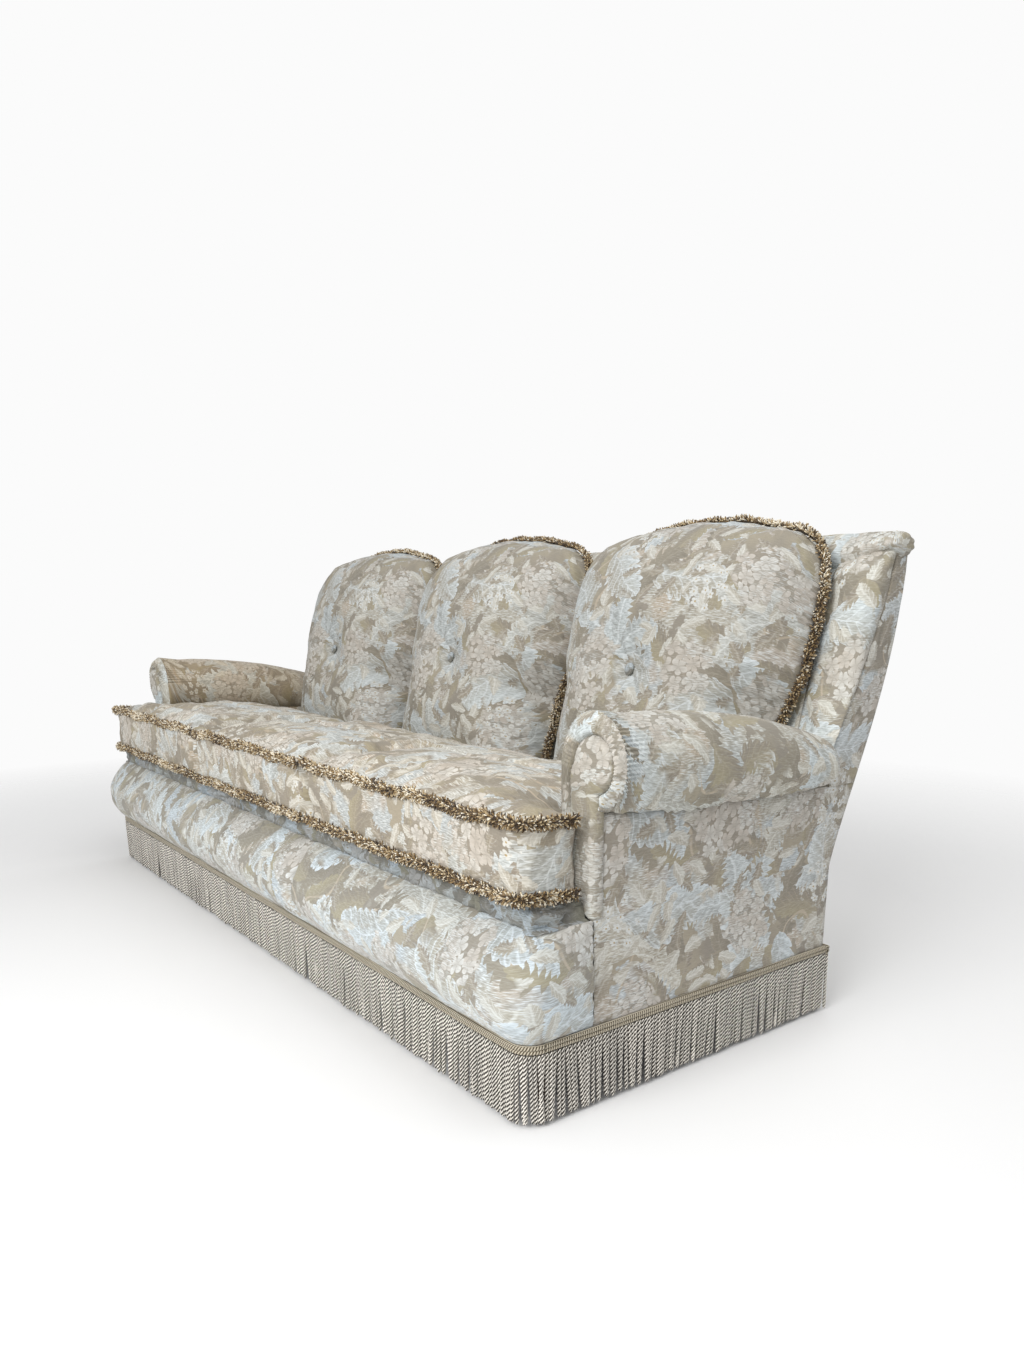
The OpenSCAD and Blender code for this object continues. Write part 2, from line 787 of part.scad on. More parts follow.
// Section of a side roll at the height z, seen from above
function wing_ring(z) = let (
        low = z < wing_z,
        face = inside_y(z),
        proud = mix(wing_proud, wing_proud / 2, clamp01((z - wing_z) / (roll_z - wing_z))),
        front = low ? roll_end + wing_room : max(roll_end + wing_room, face - proud),
        lean = max(0, z - wing_bend) * 0.55,
        f = front + lean,
        seam = wing_seam(z),
        back = max(frame_y(z), seam + wing_room),
        w = panel_x - arm_in)
    [
        [arm_in, low ? front : face + lean, z],
        [arm_in + w * 0.15, low ? front : face - proud * 0.25 + lean, z],
        [arm_in + w * 0.4, f + proud * 0.1, z], [arm_in + w * 0.62, f, z],
        [panel_x - w * 0.16, f + proud * 0.2, z], [panel_x - w * 0.04, mix(f, seam, 0.5), z],
        [panel_x, seam - 2, z], [board_x, seam, z], [board_x, back, z], [arm_in, back, z]
    ];

// Heights of the rings of a side roll, behind the arm roll and above it
function wing_heights() = concat(
    bends(arm_low_rear + lap + rest_gap, wing_z - 1), bends(wing_z + 1, wing_bend), [roll_z]);

module side_roll(s) {
    color("Silver") placed() side(s) difference() {
        loft([for (z = concat(wing_heights(), [roll_z + top_roll_r * 0.67])) wing_ring(z)]);
        slab_x(0, half_w) top_roll_outline(rest_gap);
        slab_x(0, board_x) top_rail_outline();
        post_room() upright_outline(frame_z, roll_z);
    }
}

module side_panel(s) {
    low = arm_low_rear + lap + rest_gap;
    color("Silver") placed() side(s) difference() {
        slab_x(board_x, panel_x) polygon(concat(
            rear_edge(low, roll_z),
            [for (z = reversed(wing_heights())) [wing_seam(z), z]]
        ));
        slab_x(0, half_w) top_roll_outline(rest_gap);
    }
}

module outside_back() {
    z0 = frame_z + lap;
    z1 = roll_z - top_roll_r + 2 * lap;
    heights = bends(z0, z1);
    color("Silver") placed() difference() {
        slab_x(-board_x, board_x) polygon(concat(
            [for (z = heights) [rear_y(z) - skin_t, z]],
            [for (z = reversed(heights)) [rear_y(z), z]]
        ));
        slab_x(-half_w, half_w) top_roll_outline(rest_gap);
    }
}

// Seat cushions

// How full the cushion is at x, y: nothing at its edge, rising quickly inwards.
// The cushion spans x0 to x2, narrowing to x1 behind the ear that ends at ye.
function fullness(x, y, x0, x1, x2, ye) = let (
        y0 = seat_inset, y1 = seat_inset + seat_depth, k = crown_run,
        notch = norm([max(x1 - x, 0), max(ye - y, 0)]))
    (1 - exp(-(x - x0) / k)) * (1 - exp(-(x2 - x) / k))
    * (1 - exp(-(y - y0) / k)) * (1 - exp(-(y1 - y) / k))
    * (x2 > x1 ? 1 - exp(-notch / k) : 1);

// A boxed cushion over the grid lines xs and ys, in three layers of points
module boxed_cushion(xs, ys, x1, ye) {
    nx = len(xs);
    ny = len(ys);
    x0 = xs[0];
    x2 = xs[nx - 1];
    y0 = ys[0];
    y1 = ys[ny - 1];
    chamfer = crown_run / 6;
    function solid(i, j) = i >= 0 && j >= 0 && i < nx - 1 && j < ny - 1
        && !(xs[i] >= x1 - 0.01 && ys[j] >= ye - 0.01);
    function inner(i, j) = solid(i, j) && solid(i - 1, j) && solid(i, j - 1)
        && solid(i - 1, j - 1);
    function pull_x(i, j) = (solid(i, j) || solid(i, j - 1) ? 0 : -1)
        + (solid(i - 1, j) || solid(i - 1, j - 1) ? 0 : 1);
    function pull_y(i, j) = (solid(i, j) || solid(i - 1, j) ? 0 : -1)
        + (solid(i, j - 1) || solid(i - 1, j - 1) ? 0 : 1);
    function corner(i, j) = pull_x(i, j) != 0 && pull_y(i, j) != 0 ? chamfer : 0;
    function at(i, j, d, w) = let (
            x = xs[i] + pull_x(i, j) * (corner(i, j) + d),
            y = ys[j] + pull_y(i, j) * (corner(i, j) + d))
        [x, y, deck_z(y) + w];
    function waist(i, j) = box_pull * sin(180 * (xs[i] - x0) / (x2 - x0)) + box_pull
        * sin(180 * (ys[j] - y0) / (y1 - y0));
    top = [for (i = [0:nx - 1], j = [0:ny - 1])
        at(i, j, 0, up_seam + seat_crown * fullness(xs[i], ys[j], x0, x1, x2, ye))];
    middle = [for (i = [0:nx - 1], j = [0:ny - 1])
        at(i, j, min(box_pull, waist(i, j)), low_seam + box_h / 2)];
    bottom = [for (i = [0:nx - 1], j = [0:ny - 1])
        at(i, j, 0, inner(i, j) ? rest_gap : low_seam)];
    n = nx * ny;
    cells = [for (i = [0:nx - 2], j = [0:ny - 2]) if (solid(i, j)) [i, j]];
    flat = [for (c = cells) each let (
            a = c[0] * ny + c[1], b = a + ny, e = b + 1, d = a + 1)
        [[a, d, e], [a, e, b], [2 * n + a, 2 * n + b, 2 * n + e], [2 * n + a, 2 * n + e, 2 * n + d]]];
    edges = [for (c = cells) each let (
            i = c[0], j = c[1], a = i * ny + j, b = a + ny, e = b + 1, d = a + 1)
        concat(solid(i, j - 1) ? [] : [[a, b]], solid(i + 1, j) ? [] : [[b, e]],
            solid(i, j + 1) ? [] : [[e, d]], solid(i - 1, j) ? [] : [[d, a]])];
    walls = [for (e = edges, k = [0, 1]) each let (
            p = e[0] + k * n, q = e[1] + k * n, lp = p + n, lq = q + n)
        [[lp, p, q], [lp, q, lq]]];
    polyhedron(concat(top, middle, bottom), concat(flat, walls), convexity = 8);
}

module seat_cushion_mid() {
    w = cushion_w / 2 - soft_gap;
    d = seat_depth;
    edge = crown_run * 0.4;
    shoulder = crown_run * 1.3;
    color("Linen") placed() boxed_cushion(
        [-w, edge - w, shoulder - w, -w * 0.4, 0, w * 0.4, w - shoulder, w - edge, w],
        [for (t = [0, 0.045, 0.14, 0.32, 0.55, 0.78, 0.92, 1]) seat_inset + d * t],
        w + 1, seat_inset + d + 1);
}

module seat_cushion_end(s) {
    x0 = cushion_w / 2 + soft_gap;
    x1 = arm_in - soft_gap;
    x2 = arm_in + ear_w;
    m = (x0 + x1) / 2;
    ye = seat_inset + ear_d;
    y1 = seat_inset + seat_depth;
    edge = crown_run * 0.4;
    shoulder = crown_run * 1.3;
    color("Linen") placed() side(s) boxed_cushion(
        [x0, x0 + edge, x0 + shoulder, mix(x0, x1, 0.28), m, mix(x0, x1, 0.72),
         x1 - shoulder, x1, mix(x1, x2, 0.45), x2 - edge, x2],
        concat([for (t = [0, 0.24, 0.66, 1]) seat_inset + ear_d * t],
            [for (t = [0.25, 0.55, 0.85, 1]) mix(ye, y1, t)]),
        x1, ye);
}

// A tube along a path of points in plan that follows the deck slope
module brush_tube(path, r, w) {
    n = len(path);
    function aim(i) = let (d = path[min(i + 1, n - 1)] - path[max(i - 1, 0)]) d / norm(d);
    loft([for (i = [0:n - 1]) let (t = aim(i), q = [t[1], -t[0]])
        [for (k = [0:brush_sides - 1])
            let (a = 360 * (k + 0.5) / brush_sides, o = r * cos(a))
            [path[i][0] + q[0] * o, path[i][1] + q[1] * o,
             deck_z(path[i][1]) + w - r * sin(a)]]]);
}

module seat_brush_mid() {
    x = cushion_w / 2 - soft_gap - crown_run / 6;
    y = seat_inset - flat_of(seat_brush_r) - rest_gap;
    color("Peru") placed() for (w = [low_seam + 1, up_seam])
        brush_tube([[-x, y], [0, y], [x, y]], seat_brush_r, w);
}

module seat_brush_end(s) {
    out = flat_of(seat_brush_r) + rest_gap;
    x0 = cushion_w / 2 + soft_gap + crown_run / 6;
    xe = arm_in + ear_w;
    y = seat_inset - out;
    bend_r = crown_run * 0.3;
    turn = 4;
    path = concat(
        [[x0, y], [(x0 + xe) / 2, y]],
        [for (i = [0:turn]) let (a = -90 + 90 * i / turn)
            [xe - bend_r + (bend_r + out) * cos(a), seat_inset + bend_r + (bend_r + out) * sin(a)]],
        [[xe + out, seat_inset + ear_d - crown_run / 5]]);
    color("Peru") placed() side(s) for (w = [low_seam + 1, up_seam])
        brush_tube(path, seat_brush_r, w);
}

// Back cushions

// Places a piece drawn with its width along X, its height along Z and its
// front towards -Y on the slope of the inside back, ahead of it by the seam
module on_back(i) {
    translate([i * pillow_pitch, inside_foot, pillow_drop]) rotate([-back_rake, 0, 0])
        translate([0, -pillow_seam, 0]) children();
}

// Right half of the outline, from the middle of the foot to the top
function pillow_half() = let (
        foot = pillow_foot_w / 2, wide = pillow_w / 2, r = shoulder_r / 3,
        top = pillow_h - arch_h, cx = wide - shoulder_r, cz = top - shoulder_r)
    concat(
        [[0, 0], [foot / 2, 0]],
        [for (a = [-90, -60, -30, 0]) [foot - r + r * cos(a), r + r * sin(a)]],
        [[mix(foot, wide, 0.1), arm_v], [wide, mix(arm_v, cz, 0.35)], [wide, mix(arm_v, cz, 0.7)]],
        [for (a = [0, 22.5, 45, 67.5]) [cx + shoulder_r * cos(a), cz + shoulder_r * sin(a)]],
        [[cx, top], [cx / 2, top + arch_h * 0.75], [0, pillow_h]]
    );

// Whole outline, counter-clockwise seen from the front
function pillow_outline() = let (h = pillow_half(), n = len(h))
    concat(h, [for (i = [n - 2:-1:1]) [-h[i][0], h[i][1]]]);

// The outline drawn in towards the button by the share s, at the height w
function pillow_ring(s, w, grow = 0) = [for (p = pillow_outline())
    let (k = s * (1 + grow / norm([p[0], p[1] - button_v])))
    [p[0] * k, -w, button_v + (p[1] - button_v) * k]];

function pillow_swell(s) = pillow_front * pow(1 - pow(s, 2.6), 0.6);

module back_cushion(i) {
    floor_s = (button_r + 6) / button_v;
    color("Linen") placed() on_back(i) loft(concat(
        [pillow_ring(0.5, -pillow_back), pillow_ring(0.9, -pillow_back * 0.9),
         pillow_ring(1, 0)],
        [for (s = [0.97, 0.88, 0.72, 0.52, 0.32]) pillow_ring(s, pillow_swell(s))],
        [pillow_ring(0.16, pillow_front - tuft_d * 0.3),
         pillow_ring(floor_s, pillow_front - tuft_d)]
    ));
}

module back_brush(i) {
    half = pillow_half();
    count = len(half);
    // The first corner of the outline that carries the brush, above the foot
    foot_at = 5;
    run = concat(
        [for (k = [foot_at:count - 1]) half[k]],
        [for (k = [count - 2:-1:foot_at]) [-half[k][0], half[k][1]]]);
    n = len(run);
    off = flat_of(back_brush_r) + rest_gap;
    function aim(k) = let (d = run[min(k + 1, n - 1)] - run[max(k - 1, 0)]) d / norm(d);
    color("Peru") placed() on_back(i) loft([for (k = [0:n - 1])
        let (t = aim(k), q = [t[1], -t[0]], c = run[k] + q * off)
        [for (m = [0:brush_sides - 1])
            let (a = 360 * (m + 0.5) / brush_sides, o = back_brush_r * cos(a))
            [c[0] + q[0] * o, back_brush_r * sin(a), c[1] + q[1] * o]]]);
}

module button(i) {
    color("Silver") placed() on_back(i)
        translate([0, -(pillow_front - tuft_d + rest_gap), button_v]) rotate([90, 0, 0])
            rotate_extrude($fn = 16) polygon([
                [0, 0], [button_r - 1, 0], [button_r, button_h * 0.3],
                [button_r * 0.8, button_h * 0.75], [button_r * 0.4, button_h],
                [0, button_h]
            ]);
}

// Bullion fringe

// Plan of one hanging cord, three-sided with its flat side inwards
module cord_plan() {
    polygon([[-cord_w / 2, cord_t / 2], [0, -cord_t / 2], [cord_w / 2, cord_t / 2]]);
}

// A straight run of fringe of the given length, its outer face towards -Y
module fringe_run(length) {
    n = floor(length / cord_pitch);
    step = length / n;
    z_low = trim_h - heading_h;
    translate([-length / 2, 0, z_low]) cube([length, trim_t, heading_h - braid_r]);
    translate([-length / 2, trim_t - 2 - braid_r, trim_h - braid_r - 1])
        rotate([0, 90, 0]) cylinder(r = braid_r, h = length, $fn = 16);
    translate([0, trim_t / 2, floor_gap]) linear_extrude(z_low - floor_gap + 2)
        for (i = [0:n - 1])
            translate([-length / 2 + step * (i + 0.5), 0]) cord_plan();
}

// A quarter turn of fringe about the corner centre, outer radius corner_r
module fringe_turn() {
    n = floor(corner_r * PI / 2 / cord_pitch);
    z_low = trim_h - heading_h;
    mid_r = corner_r - trim_t / 2;
    translate([0, 0, z_low]) rotate_extrude(angle = 90, $fn = 48)
        translate([corner_r - trim_t, 0]) square([trim_t, heading_h - braid_r]);
    translate([0, 0, trim_h - braid_r - 1]) rotate_extrude(angle = 90, $fn = 48)
        translate([corner_r - trim_t + 2 + braid_r, 0]) circle(r = braid_r, $fn = 16);
    translate([0, 0, floor_gap]) linear_extrude(z_low - floor_gap + 2)
        for (i = [0:n - 1]) rotate(90 * (i + 0.5) / n)
            translate([mid_r, 0]) rotate(90) cord_plan();
}

module fringe_front() {
    run = base_w - 2 * corner_r;
    color("Tan") placed() {
        fringe_run(run);
        for (s = [-1, 1]) side(s) translate([run / 2, corner_r, 0]) rotate(-90) fringe_turn();
    }
}

module fringe_rear() {
    color("Tan") placed() translate([0, base_d, 0]) rotate(180) fringe_run(base_w);
}

module fringe_side(s) {
    run = panel_y - corner_r;
    color("Tan") placed() side(s) translate([half_w, corner_r + run / 2, 0]) rotate(90)
        fringe_run(run);
}

front_rail();
back_rail();
side_rail(-1);  // side_rail_left
side_rail(1);  // side_rail_right
seat_stretchers();
corner_blocks();
arm_post(-1);  // arm_post_left
arm_post(1);  // arm_post_right
arm_rail(-1);  // arm_rail_left
arm_rail(1);  // arm_rail_right
back_post(-1);  // back_post_left
back_post(1);  // back_post_right
back_uprights();
top_rail();
feet();
foot_studs();
foot_glides();
seat_springs();
spring_clips();
dust_cover();
deck();
border_end(-1);  // border_left
border_mid();
border_end(1);  // border_right
arm_roll(-1);  // arm_roll_left
arm_roll(1);  // arm_roll_right
arm_facing(-1);  // arm_facing_left
arm_facing(1);  // arm_facing_right
arm_band(-1);  // arm_band_left
arm_band(1);  // arm_band_right
arm_pad(-1);  // arm_pad_left
arm_pad(1);  // arm_pad_right
arm_panel(-1);  // arm_panel_left
arm_panel(1);  // arm_panel_right
inside_back();
side_roll(-1);  // side_roll_left
side_roll(1);  // side_roll_right
side_panel(-1);  // side_panel_left
side_panel(1);  // side_panel_right
top_roll();
outside_back();
seat_cushion_end(-1);  // seat_cushion_left
seat_cushion_mid();
seat_cushion_end(1);  // seat_cushion_right
seat_brush_end(-1);  // seat_brush_left
seat_brush_mid();
seat_brush_end(1);  // seat_brush_right
back_cushion(-1);  // back_cushion_left
back_cushion(0);  // back_cushion_mid
back_cushion(1);  // back_cushion_right
back_brush(-1);  // back_brush_left
back_brush(0);  // back_brush_mid
back_brush(1);  // back_brush_right
button(-1);  // button_left
button(0);  // button_mid
button(1);  // button_right
fringe_front();
fringe_rear();
fringe_side(-1);  // fringe_left
fringe_side(1);  // fringe_right
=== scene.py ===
import json
import math

import bpy
import numpy as np
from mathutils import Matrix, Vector


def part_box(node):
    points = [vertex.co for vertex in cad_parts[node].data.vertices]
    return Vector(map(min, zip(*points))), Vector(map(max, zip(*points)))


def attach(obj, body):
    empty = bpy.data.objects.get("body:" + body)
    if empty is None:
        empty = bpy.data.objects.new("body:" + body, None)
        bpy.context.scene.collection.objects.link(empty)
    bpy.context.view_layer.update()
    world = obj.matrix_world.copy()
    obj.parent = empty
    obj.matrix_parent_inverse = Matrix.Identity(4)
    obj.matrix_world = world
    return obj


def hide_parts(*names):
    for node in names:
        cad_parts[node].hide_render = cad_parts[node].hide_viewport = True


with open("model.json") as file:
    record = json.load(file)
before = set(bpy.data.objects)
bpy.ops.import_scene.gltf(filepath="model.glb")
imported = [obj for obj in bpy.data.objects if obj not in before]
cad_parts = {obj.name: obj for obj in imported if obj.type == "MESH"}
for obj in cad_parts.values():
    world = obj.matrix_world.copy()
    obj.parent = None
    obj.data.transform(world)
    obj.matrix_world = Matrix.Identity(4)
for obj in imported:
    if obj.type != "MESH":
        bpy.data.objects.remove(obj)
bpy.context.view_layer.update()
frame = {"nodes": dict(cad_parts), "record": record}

# Lengths in this script are in millimetres, counted along Y from the front
# face of the trim, unless a comment says otherwise. placed() turns them into
# metres in the shared frame.
MM = 0.001
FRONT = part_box("fringe_front")[0][1] / MM

# Sizes of the upholstery, as packed. X counts from the middle of the sofa, Z
# from the floor.
HALF_W = 1030
CORNER_R = 40
CORNER_X = HALF_W - CORNER_R
CLOTH_FOOT = 102
BORDER_FOOT = 130  # where the padded face of the border comes out of the trim
BORDER_TOP = 296
SPLIT = 310.3  # X of the splits between borders and between seat cushions
SPLIT_GAP = 3.4  # how far the borders stay apart there
DECK_FRONT = 28
DECK_TOP = 334  # at its front edge
DECK_DEPTH = 36
SEAT_SLOPE = math.tan(math.radians(5))

# Sides: their cloth, the seam between its two panels, and the boards under it
PANEL_X = 1022
PANEL_TOP = 432
BOARD_X = 1016

# Arms, from the front of the facing to the rear end of the roll
ARM_IN = 931
ARM_MID = 999.5
ARM_HALF = 68.5
ARM_FOOT = 300
ARM_FRONT = 134
ARM_BACK = 151  # where the roll starts, behind the facing
ROLL_END = 672
CREASE = 450  # under the roll, at its front end
SCROLL_X = 1013.5
SCROLL_Z = 523.5
SCROLL_R = 42
SCROLL_FOOT = 483
COLUMN_X = 962  # inner edge of the column under the scroll
NECK = (511, 544.5)  # heights between which that edge runs over to the scroll

# Back: it leans by RAKE from FOOT_Y on, with a wing on each side and a roll on top
RAKE = math.radians(15)
FOOT_Y = 636
BOARD_DEPTH = 34
WING_Z = 520  # where the wing comes out of the arm
WING_BEND = 795  # where it starts to lean back
TOP_Y = 835
TOP_Z = 825
TOP_R = 43

# Seat cushions, and the ear of the outer ones in front of the arm
SEAT_INNER = 308  # side face of the middle cushion at the split
SEAT_OUTER = 312  # side face of the outer cushion there
SEAT_FRONT = 10
SEAT_REAR = 496
EAR_X = 1003
EAR_Y = 130
EAR_STEP_X = 929.5
SEAMS = (10, 118)  # heights over the deck

# Back cushions, measured in their own sloping plane, with V up the slope
PLACES = (("left", -1), ("mid", 0), ("right", 1))
PILLOW_PITCH = 639.67
PILLOW_W = 599.4
PILLOW_FOOT = 526
PILLOW_H = 642
PILLOW_CORNER = 110
PILLOW_DROP = 276.2  # height of their foot, where the back starts to lean
PILLOW_SEAM = 28.3  # from the inside back to the edge seam
PILLOW_FRONT = 165  # from the edge seam to the front
BUTTON_V = 314
ARM_V = 252.4  # level of the arms
FREE = 0.4  # left free between loose cushions and the pieces beside them

# Fringe
CORD_TOP = 117.0
CORD_LENGTH = 111.5
CORD_PITCH = 7.3
HEADING_R = 3.2
FRINGE_END = 705  # rear end of its side runs
FRINGE_REAR = 713  # Y of its rear run

# Ground rules of the shape


def mix(a, b, t):
    """The value a where t is 0, b where it is 1."""
    return a + (b - a) * t


def deck_z(y):
    """Height of the seat deck at the distance y."""
    return DECK_TOP - (y - DECK_FRONT) * SEAT_SLOPE


def inside_y(z):
    """Front face of the inside back at the height z."""
    return FOOT_Y + (z - PILLOW_DROP) * math.tan(RAKE)


def rear_y(z):
    """Rear face of the sofa at the height z."""
    t = np.clip((z - 280) / 545, 0, 1)
    return 705 + 158 * np.sin(np.pi / 2 * t) ** 1.2


def arm_low(y):
    """Crease under the arm roll at the distance y."""
    return mix(CREASE, CREASE - 20, (y - ARM_BACK) / (ROLL_END - ARM_BACK))


def roll_h(y):
    """Height of the arm roll over its crease at the distance y."""
    return mix(147, 90, np.clip((y - ARM_BACK) / (ROLL_END - ARM_BACK), 0, 1) ** 2.5)


def wing_seam(z):
    """Seam between the side roll and the outer side panel at the height z."""
    return np.maximum(683, rear_y(z) - mix(100, 36, (z - WING_Z) / (TOP_Z - WING_Z)))


def ripple(points, size, seed):
    """Smooth random height, mostly between -1 and 1, with hollows about size apart."""
    points = np.asarray(points, float)
    chance = np.random.default_rng(seed)
    total = np.zeros(points.shape[:-1])
    for _ in range(14):
        way = chance.normal(size=3)
        way /= np.linalg.norm(way)
        length = size * chance.uniform(0.7, 1.6)
        total += np.sin(points @ way * (2 * math.pi / length) + chance.uniform(0, 6.3))
    return total / 3.7


def unit(v):
    """Rows of numbers as directions of length 1."""
    return v / np.maximum(np.linalg.norm(v, axis=-1, keepdims=True), 1e-9)


def columns(*parts):
    """Numbers and rows of numbers side by side, as the columns of an array."""
    return np.stack(np.broadcast_arrays(*parts), axis=-1)


def section(place, out, offset, height):
    """Points beside one place of a path: how far out, and at which height."""
    offset = np.asarray(offset, float)
    return columns(place[0] + out[0] * offset, place[1] + out[1] * offset, height)


def corner_turn(n):
    """Places round the front right corner, with their outward directions."""
    turn = [(math.cos(a), math.sin(a)) for a in np.radians(np.linspace(-90, 0, n))]
    return [((CORNER_X + CORNER_R * c, CORNER_R + CORNER_R * s), (c, s)) for c, s in turn]


def run_lengths(path):
    """How far along its path each point lies."""
    return np.concatenate([[0], np.cumsum(np.linalg.norm(np.diff(path, axis=0), axis=1))])


def between(spots, lengths, rows):
    """Rows of numbers that go with a path, read off at other spots along it."""
    return columns(*[np.interp(spots, lengths, column) for column in np.asarray(rows).T])


# Meshes


def field(items, title, width=1, kind=float):
    """One field of a mesh's items, a row to each item."""
    flat = np.empty(len(items) * width, kind)
    items.foreach_get(title, flat)
    return flat.reshape(-1, width) if width > 1 else flat


def coordinates(mesh):
    return field(mesh.vertices, "co", 3)


def put(mesh, points):
    """Moves a mesh's points to places in metres."""
    mesh.vertices.foreach_set("co", np.asarray(points).ravel())
    mesh.update()


def mesh_object(name, points, faces, corners=None):
    """A smooth mesh object from points in metres in the shared frame.
    corners holds the cloth's own coordinates in metres, one pair a face corner."""
    mesh = bpy.data.meshes.new(name)
    mesh.from_pydata(np.asarray(points).tolist(), [], faces)
    if corners is not None:
        layer = mesh.uv_layers.new(name="cloth")
        layer.data.foreach_set("uv", np.asarray(corners, float).ravel())
    mesh.update()
    mesh.polygons.foreach_set("use_smooth", [True] * len(mesh.polygons))
    obj = bpy.data.objects.new(name, mesh)
    bpy.context.scene.collection.objects.link(obj)
    return obj


def placed(points):
    """Points in millimetres from the trim face, in metres in the shared frame."""
    return (np.asarray(points, float) + (0, FRONT, 0)) * MM


def from_trim(points):
    """Points in metres in the shared frame, in millimetres from the trim face."""
    return np.asarray(points) / MM - (0, FRONT, 0)


def outwards(obj):
    """Turns a closed mesh so that its faces look outwards."""
    mesh = obj.data
    mesh.calc_loop_triangles()
    triangles = field(mesh.loop_triangles, "vertices", 3, int)
    a, b, c = coordinates(mesh)[triangles].transpose(1, 0, 2)
    if np.einsum("ij,ij->", a, np.cross(b, c)) < 0:
        mesh.flip_normals()
    return obj


def tube_faces(m, n, first=0):
    """Faces round m rings of n points each."""
    faces = []
    for i in range(m - 1):
        low = first + i * n
        for j in range(n):
            k = (j + 1) % n
            faces.append((low + j, low + k, low + n + k, low + n + j))
    return faces


def loft(name, rings, origin=(0, 0), centre=0, upright=False):
    """A closed solid through rings of points. The cloth runs along the rings
    in its first coordinate and round them in its second, from origin, which
    lies at the ring's point number centre. Where the rings are stacked
    upright, the two change places, so that the weft stays level."""
    rings = np.asarray(rings, float)
    m, n = rings.shape[:2]
    steps = np.linalg.norm(np.diff(rings, axis=0), axis=2).mean(axis=1)
    along = np.concatenate([[0], np.cumsum(steps)])
    wrapped = np.concatenate([rings, rings[:, :1]], axis=1)
    around = np.cumsum(np.linalg.norm(np.diff(wrapped, axis=1), axis=2), axis=1)
    around = np.concatenate([np.zeros((m, 1)), around], axis=1)
    around -= around[:, centre:centre + 1]
    faces = tube_faces(m, n)
    corners = []
    for i in range(m - 1):
        for j in range(n):
            corners += [
                (along[i], around[i, j]), (along[i], around[i, j + 1]),
                (along[i + 1], around[i + 1, j + 1]), (along[i + 1], around[i + 1, j]),
            ]
    ends = [rings[0].mean(axis=0), rings[-1].mean(axis=0)]
    points = np.concatenate([rings.reshape(-1, 3), ends])
    top = (m - 1) * n
    for j in range(n):
        k = (j + 1) % n
        faces += [(m * n, k, j), (m * n + 1, top + j, top + k)]
        for row, a, b in ((0, j + 1, j), (m - 1, j, j + 1)):
            middle = around[row, :-1].mean()
            corners += [
                (along[row], middle), (along[row], around[row, a]), (along[row], around[row, b])
            ]
    corners = np.array(corners)[:, ::-1 if upright else 1] * MM + origin
    return outwards(mesh_object(name, placed(points), faces, corners))


def skin(name, front, thickness, origin=(0, 0)):
    """A closed upright sheet from a grid of points on its outer face, row by
    row upwards. thickness is the way from the outer to the inner face."""
    back = front + np.asarray(thickness, float)
    rings = np.concatenate([front, back[:, ::-1]], axis=1)
    return loft(name, rings, origin, centre=front.shape[1] // 2, upright=True)


def mirrored(obj, name, origin=(0, 0)):
    """The same piece on the other side, with its cloth cut from another place."""
    copy = obj.copy()
    mesh = obj.data.copy()
    copy.data = mesh
    copy.name = name
    mesh.name = name
    bpy.context.scene.collection.objects.link(copy)
    put(mesh, coordinates(mesh) * (-1, 1, 1))
    mesh.flip_normals()
    layer = mesh.uv_layers.get("cloth")
    if layer:
        layer.data.foreach_set("uv", (field(layer.data, "uv", 2) + origin).ravel())
    mesh.update()
    return copy


def dress(obj, material, body, nodes):
    """Gives a finished piece its material and says what it stands for."""
    obj.data.materials.clear()
    obj.data.materials.append(material)
    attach(obj, body)
    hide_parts(*nodes)
    return obj


def dress_fixed(obj, material, node):
    """Dresses a piece of the fixed upholstery."""
    dress(obj, material, "base", [node])


def dress_both(obj, part, origin, material, left_material=None):
    """Dresses a piece of the right side and its mirror image on the left,
    whose cloth is cut origin further on."""
    left = mirrored(obj, f"{part}_left_cover", origin)
    dress_fixed(obj, material, f"{part}_right")
    dress_fixed(left, left_material or material, f"{part}_left")


# Materials


def colour(code):
    """A colour code in sRGB hex as linear red, green, blue and alpha."""
    parts = [int(code[k:k + 2], 16) / 255 for k in (1, 3, 5)]
    return [c / 12.92 if c <= 0.04045 else ((c + 0.055) / 1.055) ** 2.4 for c in parts] + [1.0]


def feed(tree, socket, given):
    """Gives a socket its value: a number, a colour, another socket, or a node,
    of which it takes the first output in use."""
    if isinstance(given, bpy.types.Node):
        given = next(s for s in given.outputs if s.enabled)
    if isinstance(given, bpy.types.NodeSocket):
        tree.links.new(given, socket)
    elif given is not None:
        socket.default_value = given


def add(tree, kind, *inputs, **settings):
    """Adds a node. After its settings, its inputs follow in the order of the
    sockets in use, with None for one that keeps its default."""
    node = tree.nodes.new(kind)
    for key, value in settings.items():
        setattr(node, key, value)
    for socket, given in zip([s for s in node.inputs if s.enabled], inputs):
        feed(tree, socket, given)
    return node


def group(name, kind, inputs, outputs):
    """A node group with named inputs and outputs: its tree, the sockets of its
    inputs and its end node."""
    tree = bpy.data.node_groups.new(name, kind)
    for title, socket, value in inputs:
        face = tree.interface.new_socket(title, in_out="INPUT", socket_type=socket)
        if value is not None:
            face.default_value = value
    for title, socket in outputs:
        tree.interface.new_socket(title, in_out="OUTPUT", socket_type=socket)
    start = add(tree, "NodeGroupInput")
    return tree, list(start.outputs)[:len(inputs)], add(tree, "NodeGroupOutput")


